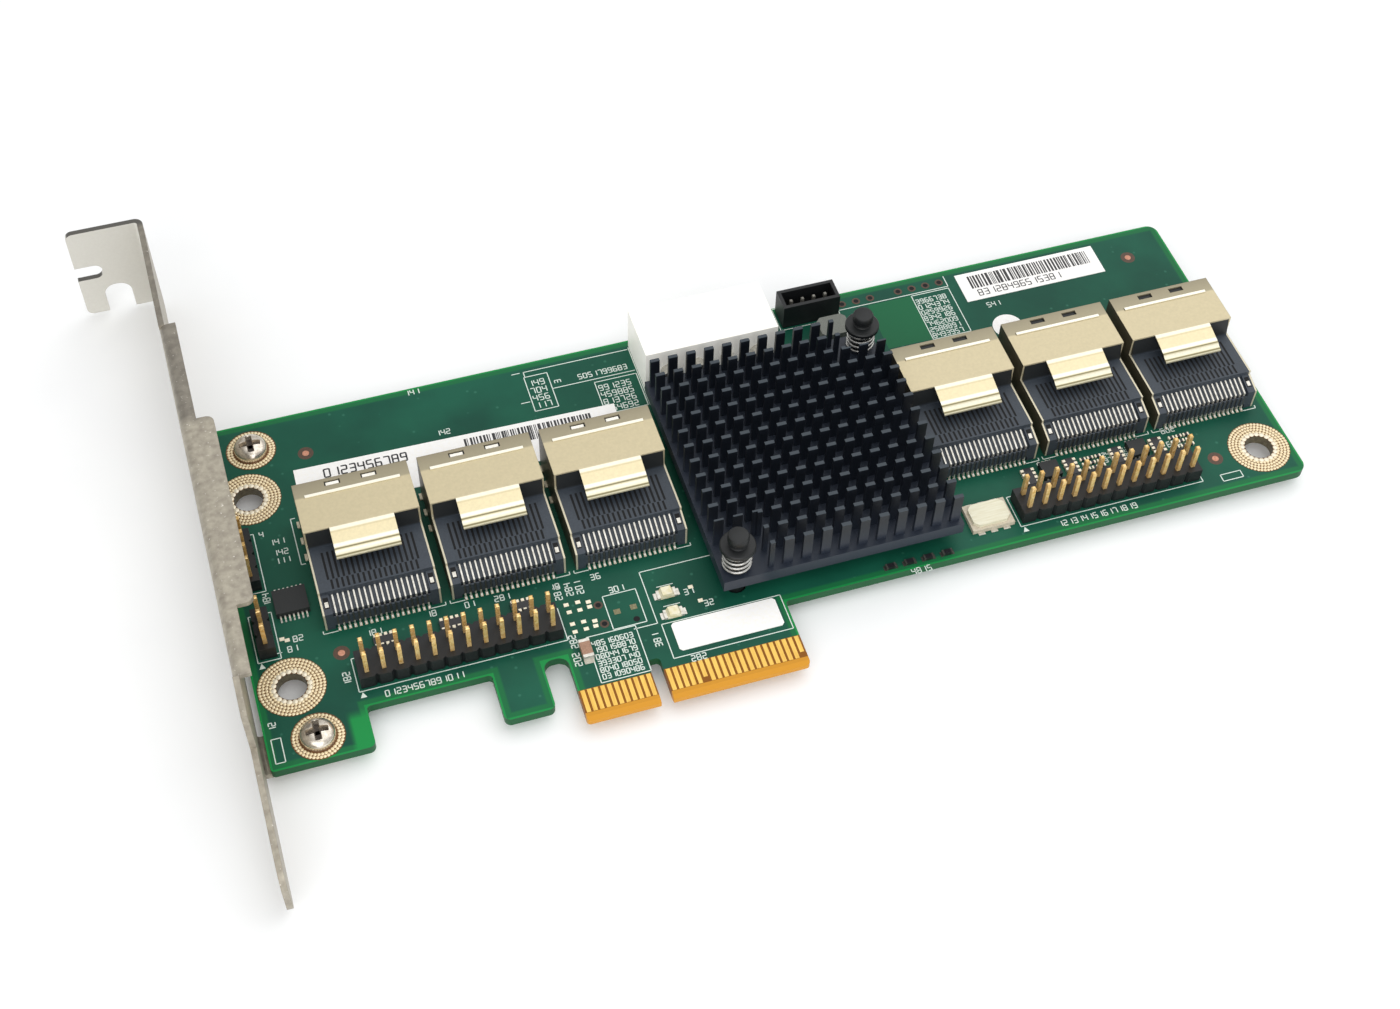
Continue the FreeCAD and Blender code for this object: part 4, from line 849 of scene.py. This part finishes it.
class CARD_OT_sockets(bpy.types.Operator):
    """Adds the slits, painted window glints, pockets, contacts, comb teeth, tails and pads of the sockets"""
    bl_idname = "card.sockets"
    bl_label = "Socket details"

    # Starts and ends are measured from the rear face towards the mouth.
    long_slit, short_slit = (5.1, 10.2), (3.25, 5.0)
    pocket, pocket_width, pocket_shift = (0.9, 2.6), 0.8, 0.25
    clip, clip_width = (1.1, 1.9), 0.55
    tooth, tooth_low, tooth_high = (0.34, 0.22), 0.95, 3.05
    shank = ((-0.02, 3.0), (-0.02, 1.0))
    tail = ((-0.02, 1.0), (-0.02, 0.75), (-0.15, 0.22), (-0.5, 0.1))
    tail_width = 0.24
    pad, pad_width = (-0.62, 0.1), 0.42
    contact_outer = ((3.0, 4.5), (0.2, 3.6), (0.2, 0.0))
    contact_inner = ((3.0, 4.2), (0.5, 3.3), (0.5, 0.0))
    contact_width = 0.24
    lit_sockets, window, window_depth, glint, glint_width = 3, 2.8, 0.46, (0.68, 1.32), 2.0

    def execute(self, context):
        fine, lift = in_mm(context.scene.card_fine), in_mm(context.scene.card_print).lift
        pitch, both = fine.contact_pitch, np.array([-1, 1])
        steps = (np.arange(fine.contact_count) - (fine.contact_count - 1) / 2) * pitch
        boxes = np.array([node_box(f"sas_housing_{i}") for i in SOCKETS])
        middles = boxes[:, :, 0].mean(axis=1)[:, None]
        rear, half = boxes[0, 0, 1], (boxes[0, 1, 0] - boxes[0, 0, 0]) / 2
        row = (middles + steps).ravel()
        gaps = (middles + steps[:-1] + pitch / 2).ravel()
        top = fine.deck + lift
        slits = [ribbons(xs, [(rear + end, top), (rear + start, top)], fine.slit)
                 for xs, (start, end) in ((row, self.long_slit), (gaps, self.short_slit))]
        add_piece("socket_slits", "shadowed_gap", "socket_black", *slits)
        # Painted glints of reflected light lie in the windows of the left sockets.
        mouth, roof = node_box("sas_shell_1")[1, 1:]
        lit = (middles[:self.lit_sockets] + both * self.window).ravel()
        glint = [(mouth - y, roof - self.window_depth) for y in self.glint]
        add_piece("window_glints", "window_light", "nickel_shell", ribbons(lit, glint, self.glint_width))

        # Pockets and clips lie on the sloping ends of the shelf.
        reach = (steps[-1] + half) / 2 + self.pocket_shift
        ends = (middles + both * reach).ravel()
        slope = (fine.shelf_high - fine.shelf_low) / fine.shelf_run
        pocket, clip = [[(rear + y, fine.shelf_low + slope * y + up) for y in span[::-1]]
                        for span, up in ((self.pocket, lift), (self.clip, 2 * lift))]
        add_piece("socket_pockets", "shadowed_gap", "socket_black", ribbons(ends, pocket, self.pocket_width))
        add_piece("socket_clips", "tinned_brass", "nickel_shell", ribbons(ends, clip, self.clip_width))

        outer, inner, shank, tail = [np.add(path, (rear, 0)) for path in (
            self.contact_outer, self.contact_inner, self.shank, self.tail)]
        bars = bent_bars(row, outer, inner, self.contact_width)
        piece = add_piece("contact_strips", "tinned_brass", "tinned_lead", bars)
        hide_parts(*(f"sas_contacts_{i}" for i in SOCKETS))
        teeth = [(x, rear - self.tooth[1] / 2, self.tooth_low) for x in gaps]
        teeth = bricks(teeth, (*self.tooth, self.tooth_high - self.tooth_low))
        add_piece("comb_teeth", "glass_filled_plastic", "socket_black", teeth)
        add_piece("contact_shanks", "shaded_tin", "tinned_lead", ribbons(row, shank, self.tail_width))
        add_piece("contact_tails", "tinned_brass", "tinned_lead", ribbons(row, tail, self.tail_width))
        pad = [(rear + y, lift) for y in self.pad[::-1]]
        add_piece("contact_pads", "reflowed_solder", "tinned_pad", ribbons(row, pad, self.pad_width))
        return {"FINISHED"}


class CARD_OT_springs(bpy.types.Operator):
    """Winds round wire springs in place of the faceted ones"""
    bl_idname = "card.springs"
    bl_label = "Springs"

    wire_sides = 10

    def execute(self, context):
        fine = in_mm(context.scene.card_fine)
        low, high = node_box("push_pin_springs")
        edge = fine.spring_r + fine.wire / 2
        coils = [helix(place, fine.spring_r, fine.wire, self.wire_sides, fine.spring_turns,
                       fine.spring_steps, low[2], high[2]) for place in (low + edge, high - edge)]
        piece = add_piece("wound_springs", "spring_wire", "spring_steel", *coils, smooth=True)
        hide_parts("push_pin_springs")
        return {"FINISHED"}


class CARD_OT_push_pins(bpy.types.Operator):
    """Turns smooth push pins in place of the faceted ones"""
    bl_idname = "card.push_pins"
    bl_label = "Push pins"

    collar_r, sides, crease = 2.75, 36, math.radians(40)
    # Radius and height of the moulded profile: the barb from its tip, and the cap from its top.
    barb = ((0, 0), (0.8, 0), (1.0, 0.2), (1.95, 1.8), (1.9, 1.9), (1.4, 1.9))
    cap = ((1.4, -3.2), (2.6, -3.2), (2.75, -3.1), (2.75, -2.55), (2.6, -2.4), (1.45, -2.3), (1.3, -2.1),
           (1.3, -1.7), (1.6, -1.55), (1.65, -1.4), (1.65, -0.4), (1.5, -0.12), (1.15, 0), (0, 0))

    def execute(self, context):
        low, high = node_box("push_pins")
        profile = [(r, low[2] + z) for r, z in self.barb] + [(r, high[2] + z) for r, z in self.cap]
        places = [(low + self.collar_r)[:2], (high - self.collar_r)[:2]]
        pins = lathes(profile, self.sides, places)
        piece = add_piece("turned_push_pins", "moulded_black_nylon", "black_nylon", pins, smooth=True)
        piece.data.set_sharp_from_angle(angle=self.crease)
        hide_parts("push_pins")
        return {"FINISHED"}


class CARD_OT_screws(bpy.types.Operator):
    """Turns domed screws with a cross recess in place of the faceted ones"""
    bl_idname = "card.screws"
    bl_label = "Screws"

    head_r, turned_r, shank_r, seat, side = 2.75, 2.6, 1.5, 0.05, 0.6
    span, width, depth, slope = 3.3, 0.95, 1.1, 0.15
    rings, sides, fullness, crease = 48, 128, 0.75, math.radians(35)

    def execute(self, context):
        low, high = node_box("bracket_screws")
        climb = np.linspace(0, np.pi / 2, self.rings)
        foot, floor = self.seat + self.side, high[2] - self.depth
        dome = np.stack([self.turned_r * np.cos(climb).clip(0) ** self.fullness,
                         foot + (high[2] - foot) * np.sin(climb)], axis=1)
        stem = [(0, low[2]), (self.shank_r, low[2]), (self.shank_r, self.seat), (self.turned_r, self.seat)]
        x = (low[0] + high[0]) / 2
        places = [(x, low[1] + self.head_r), (x, high[1] - self.head_r)]
        heads = lathes(np.concatenate([stem, dome]), self.sides, places)
        heads = crossed(heads, self.span, self.width, floor, self.slope)
        # The heart of the cross lies in shade.
        arm, wide = self.span / 2 - self.slope, self.width - 2 * self.slope
        ends = [((x - u, y - v), (x + u, y + v)) for x, y in places for u, v in ((arm, 0), (0, arm))]
        shade = strips(ends, wide, floor + in_mm(context.scene.card_print).lift)
        add_piece("screw_crosses", "recess_shadow", "nickel_steel", shade)
        piece = add_piece("turned_screws", "turned_nickel", "nickel_steel", heads, smooth=True)
        piece.data.set_sharp_from_angle(angle=self.crease)
        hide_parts("bracket_screws")
        return {"FINISHED"}


class CARD_OT_solder(bpy.types.Operator):
    """Adds the solder joints below the board and the tinned ends of the small parts"""
    bl_idname = "card.solder"
    bl_label = "Solder"

    pitch, pin_half = 2.54, 0.32
    # Joints taper from their tip to their foot.
    joint_tip, joint_waist, joint_foot, joint_sides = 0.3, 0.45, 0.05, 12
    row_count, row_pitch, chip_half = 4, 3.1, 0.8
    # Ends stand on their lands; each comes with its distance from the middle or from the part's end.
    chip_ends = ((0.68, (0.26, 0.82, 0.61)), (0.92, (0.4, 0.9, 0.05)))
    cap_ends = ((0.24, (1.62, 0.5, 1.21)), (-0.2, (1.5, 0.6, 0.05)))
    light_ends, light_half = ((0.2, (0.42, 1.52, 0.44)), (-0.2, (0.6, 1.2, 0.05))), 0.75
    feet, foot = (0.2, 0.5, 0.8), (1.1, 1.0, 0.12)

    def execute(self, context):
        fine = in_mm(context.scene.card_fine)
        under = node_box("circuit_board")[0, 2]
        tails = []
        for node in HEADERS:
            low, high = node_box(f"{node}_pins")
            counts = np.round((high - low) / self.pitch).astype(int) + 1
            xs, ys = [np.linspace(low[k] + self.pin_half, high[k] - self.pin_half, counts[k]) for k in (0, 1)]
            tails += [(x, y, under) for x in xs for y in ys]
        r, h = fine.joint_r, fine.joint_h
        cone = [(self.joint_tip, -h), (self.joint_waist, -h / 2), (r, -self.joint_foot), (r, 0)]
        joints = lathes(cone, self.joint_sides, tails)
        add_piece("solder_joints", "reflowed_solder", "tinned_lead", joints, smooth=True)

        low, high = node_box("chip_resistors")
        y = (low[1] + high[1]) / 2
        middles = low[0] + self.chip_half + np.arange(self.row_count) * self.row_pitch
        ends = [bricks([(x + way * out, y) for x in middles for way in (-1, 1)], size)
                for out, size in self.chip_ends]
        add_piece("chip_ends", "shaded_tin", "tinned_lead", *ends)
        low, high = node_box("bulk_capacitor")
        x = (low[0] + high[0]) / 2
        ends = [bricks([(x, low[1] + into), (x, high[1] - into)], size) for into, size in self.cap_ends]
        low, high = node_box("status_lights")
        ys = (low[1] + self.light_half, high[1] - self.light_half)
        ends += [bricks([(x, y) for x in (low[0] + into, high[0] - into) for y in ys], size)
                 for into, size in self.light_ends]
        low, high = node_box("oscillator_base")
        xs = low[0] + (high[0] - low[0]) * np.array(self.feet)
        ends.append(bricks([(x, y) for x in xs for y in (low[1], high[1])], self.foot))
        add_piece("small_part_ends", "tinned_brass", "tinned_lead", *ends)
        return {"FINISHED"}


class CARD_OT_array_ends(bpy.types.Operator):
    """Adds the tinned ends along both sides of the resistor arrays, and the fine chips between them"""
    bl_idname = "card.array_ends"
    bl_label = "Array ends"

    lying = ((20.0, 22.0), (30.0, 22.0), (40.9, 22.0))
    standing = ((124.15, 22.8), (131.35, 22.8), (139.35, 22.8), (146.35, 22.8))
    steps = (-1.2, -0.4, 0.4, 1.2)
    out, end = 0.87, (0.46, 0.5, 0.58)
    # Chips of the smallest size stand in two groups beside the standing arrays.
    chip_columns, chip_rows = (133.7, 135.0, 136.3, 149.3, 150.6, 151.9), (21.7, 22.7, 23.7)
    chip_body, chip_cap, chip_out = (0.5, 0.5, 0.35), (0.26, 0.52, 0.37), 0.37

    def execute(self, context):
        chips = [(x, y) for x in self.chip_columns for y in self.chip_rows]
        add_piece("fine_chips", "resistor_glaze", "chip_black", bricks(chips, self.chip_body))
        caps = [(x + way * self.chip_out, y) for x, y in chips for way in (-1, 1)]
        add_piece("fine_chip_ends", "reflowed_solder", "tinned_lead", bricks(caps, self.chip_cap))
        along, across, height = self.end
        pairs = [(step, way * self.out) for step in self.steps for way in (-1, 1)]
        flat = [(x + step, y + out) for x, y in self.lying for step, out in pairs]
        upright = [(x + out, y + step) for x, y in self.standing for step, out in pairs]
        add_piece("array_ends", "reflowed_solder", "tinned_lead", bricks(flat, self.end),
                  bricks(upright, (across, along, height)))
        return {"FINISHED"}


class CARD_OT_label_print(bpy.types.Operator):
    """Prints plain bars and numbers on the two long labels"""
    bl_idname = "card.label_print"
    bl_label = "Label print"

    widths, spaces, count, seed = (0.13, 0.24, 0.36), (0.13, 0.24), 120, 7
    part_bars = (39.7, 53.0, 61.0, 56.0)
    part_middle, part_turn = (39.1, 52.7), math.radians(-1.2)
    part_row, part_numeral, part_stroke = (17.6, 54.2), 1.6, 0.26
    paper, numeral, stroke = 0.1, 1.3, 0.17
    # Margins of the bars on the address label at the left, bottom, right and top; start of its number.
    margins, number_start, number_count = (1.6, 2.6, -1.6, -0.8), (2.6, 0.8), 14

    def execute(self, context):
        lift = self.paper + in_mm(context.scene.card_print).lift
        rng = np.random.default_rng(self.seed)
        sides = node_rectangle("address_label")
        bars = []
        for (left, low, right, high), angle in ((np.add(sides, self.margins), 0),
                                                (self.part_bars, self.part_turn)):
            drawn = rng.choice(self.widths, self.count)
            places = left + np.cumsum(drawn + rng.choice(self.spaces, self.count))
            for width in self.widths:
                ends = [((x, low), (x, high)) for x in places[(drawn == width) & (places < right)]]
                bars.append(strips(turned(ends, self.part_middle, angle), width, lift))
        row = numerals("0123456789", *self.part_row, self.part_numeral)
        bars.append(strips(turned(row, self.part_middle, self.part_turn), self.part_stroke, lift))
        digits = "".join(map(str, rng.integers(0, 10, self.number_count)))
        row = numerals(digits, *np.add(sides[:2], self.number_start), self.numeral)
        bars.append(strips(row, self.stroke, lift))
        add_piece("label_bars", "label_print", "white_label", *bars)
        return {"FINISHED"}


class CARD_OT_stage(bpy.types.Operator):
    """Sets up the floor, the light and the camera"""
    bl_idname = "card.stage"
    bl_label = "Stage"

    key_place, key_width = (0.30, 0.12, 0.70), 1.0
    fill_place, fill_width = (-0.22, -0.62, 0.42), 0.8
    sensor = 36

    def place(self, scene, name, data, location, look, roll=0.0):
        """Adds a lamp or a camera that looks one way."""
        item = bpy.data.objects.new(name, data)
        item.location = location
        item.rotation_mode = "QUATERNION"
        item.rotation_quaternion = Vector(look).to_track_quat("-Z", "Y") @ Quaternion((0, 0, 1), roll)
        scene.collection.objects.link(item)
        return item

    def execute(self, context):
        scene, stage = context.scene, context.scene.card_stage
        half = stage.floor / 2
        mesh = bpy.data.meshes.new("floor")
        mesh.from_pydata([(-half, -half, 0), (half, -half, 0), (half, half, 0), (-half, half, 0)], [],
                         [(0, 1, 2, 3)])
        # matt white table with barely visible clouds
        two_tone("pale_table", "#F7F8F8", "#F2F3F4", 40, 0.8, glow=0.08)
        mesh.materials.append(bpy.data.materials["pale_table"])
        floor = bpy.data.objects.new("floor", mesh)
        scene.collection.objects.link(floor)
        world = bpy.data.worlds.new("studio")
        world.use_nodes = True
        backdrop = world.node_tree.nodes["Background"]
        backdrop.inputs["Color"].default_value = (1, 1, 1, 1)
        backdrop.inputs["Strength"].default_value = stage.sky
        scene.world = world
        for name, power, width, spot in (("key", stage.key, self.key_width, self.key_place),
                                         ("fill", stage.fill, self.fill_width, self.fill_place)):
            data = bpy.data.lights.new(name, "AREA")
            data.energy, data.size = power, width
            self.place(scene, name, data, spot, -Vector(spot))
        data = bpy.data.cameras.new("camera")
        data.lens, data.sensor_width = stage.lens, self.sensor
        scene.camera = self.place(scene, "camera", data, stage.eye, stage.look, stage.roll)
        scene.view_settings.view_transform = "Standard"
        return {"FINISHED"}


class CARD_PT_panel(bpy.types.Panel):
    """Settings and steps of the card"""
    bl_label = "Expander card"
    bl_space_type = "VIEW_3D"
    bl_region_type = "UI"
    bl_category = "Card"

    def draw(self, context):
        for name in GROUPS:
            group = getattr(context.scene, name)
            for key in group.__annotations__:
                self.layout.prop(group, key)
        for operator in OPERATORS:
            self.layout.operator(operator.bl_idname)


GROUPS = {"card_print": CardPrint, "card_mask": CardMask, "card_fine": CardFine, "card_stage": CardStage,
          "card_colours": CardColours}
OPERATORS = (CARD_OT_finishes, CARD_OT_board_print, CARD_OT_plating, CARD_OT_sockets, CARD_OT_springs,
             CARD_OT_push_pins, CARD_OT_screws, CARD_OT_solder, CARD_OT_array_ends, CARD_OT_label_print,
             CARD_OT_stage)


def register():
    for kind in (*GROUPS.values(), *OPERATORS, CARD_PT_panel):
        bpy.utils.register_class(kind)
    for name, kind in GROUPS.items():
        setattr(bpy.types.Scene, name, PointerProperty(type=kind))


def unregister():
    for name in GROUPS:
        delattr(bpy.types.Scene, name)
    for kind in (CARD_PT_panel, *reversed(OPERATORS), *reversed(GROUPS.values())):
        bpy.utils.unregister_class(kind)


def main():
    """Registers the add-on and runs its steps in order."""
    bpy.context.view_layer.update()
    register()
    for step in OPERATORS:
        getattr(bpy.ops.card, step.bl_idname.removeprefix("card."))()


if __name__ == "__main__":
    main()
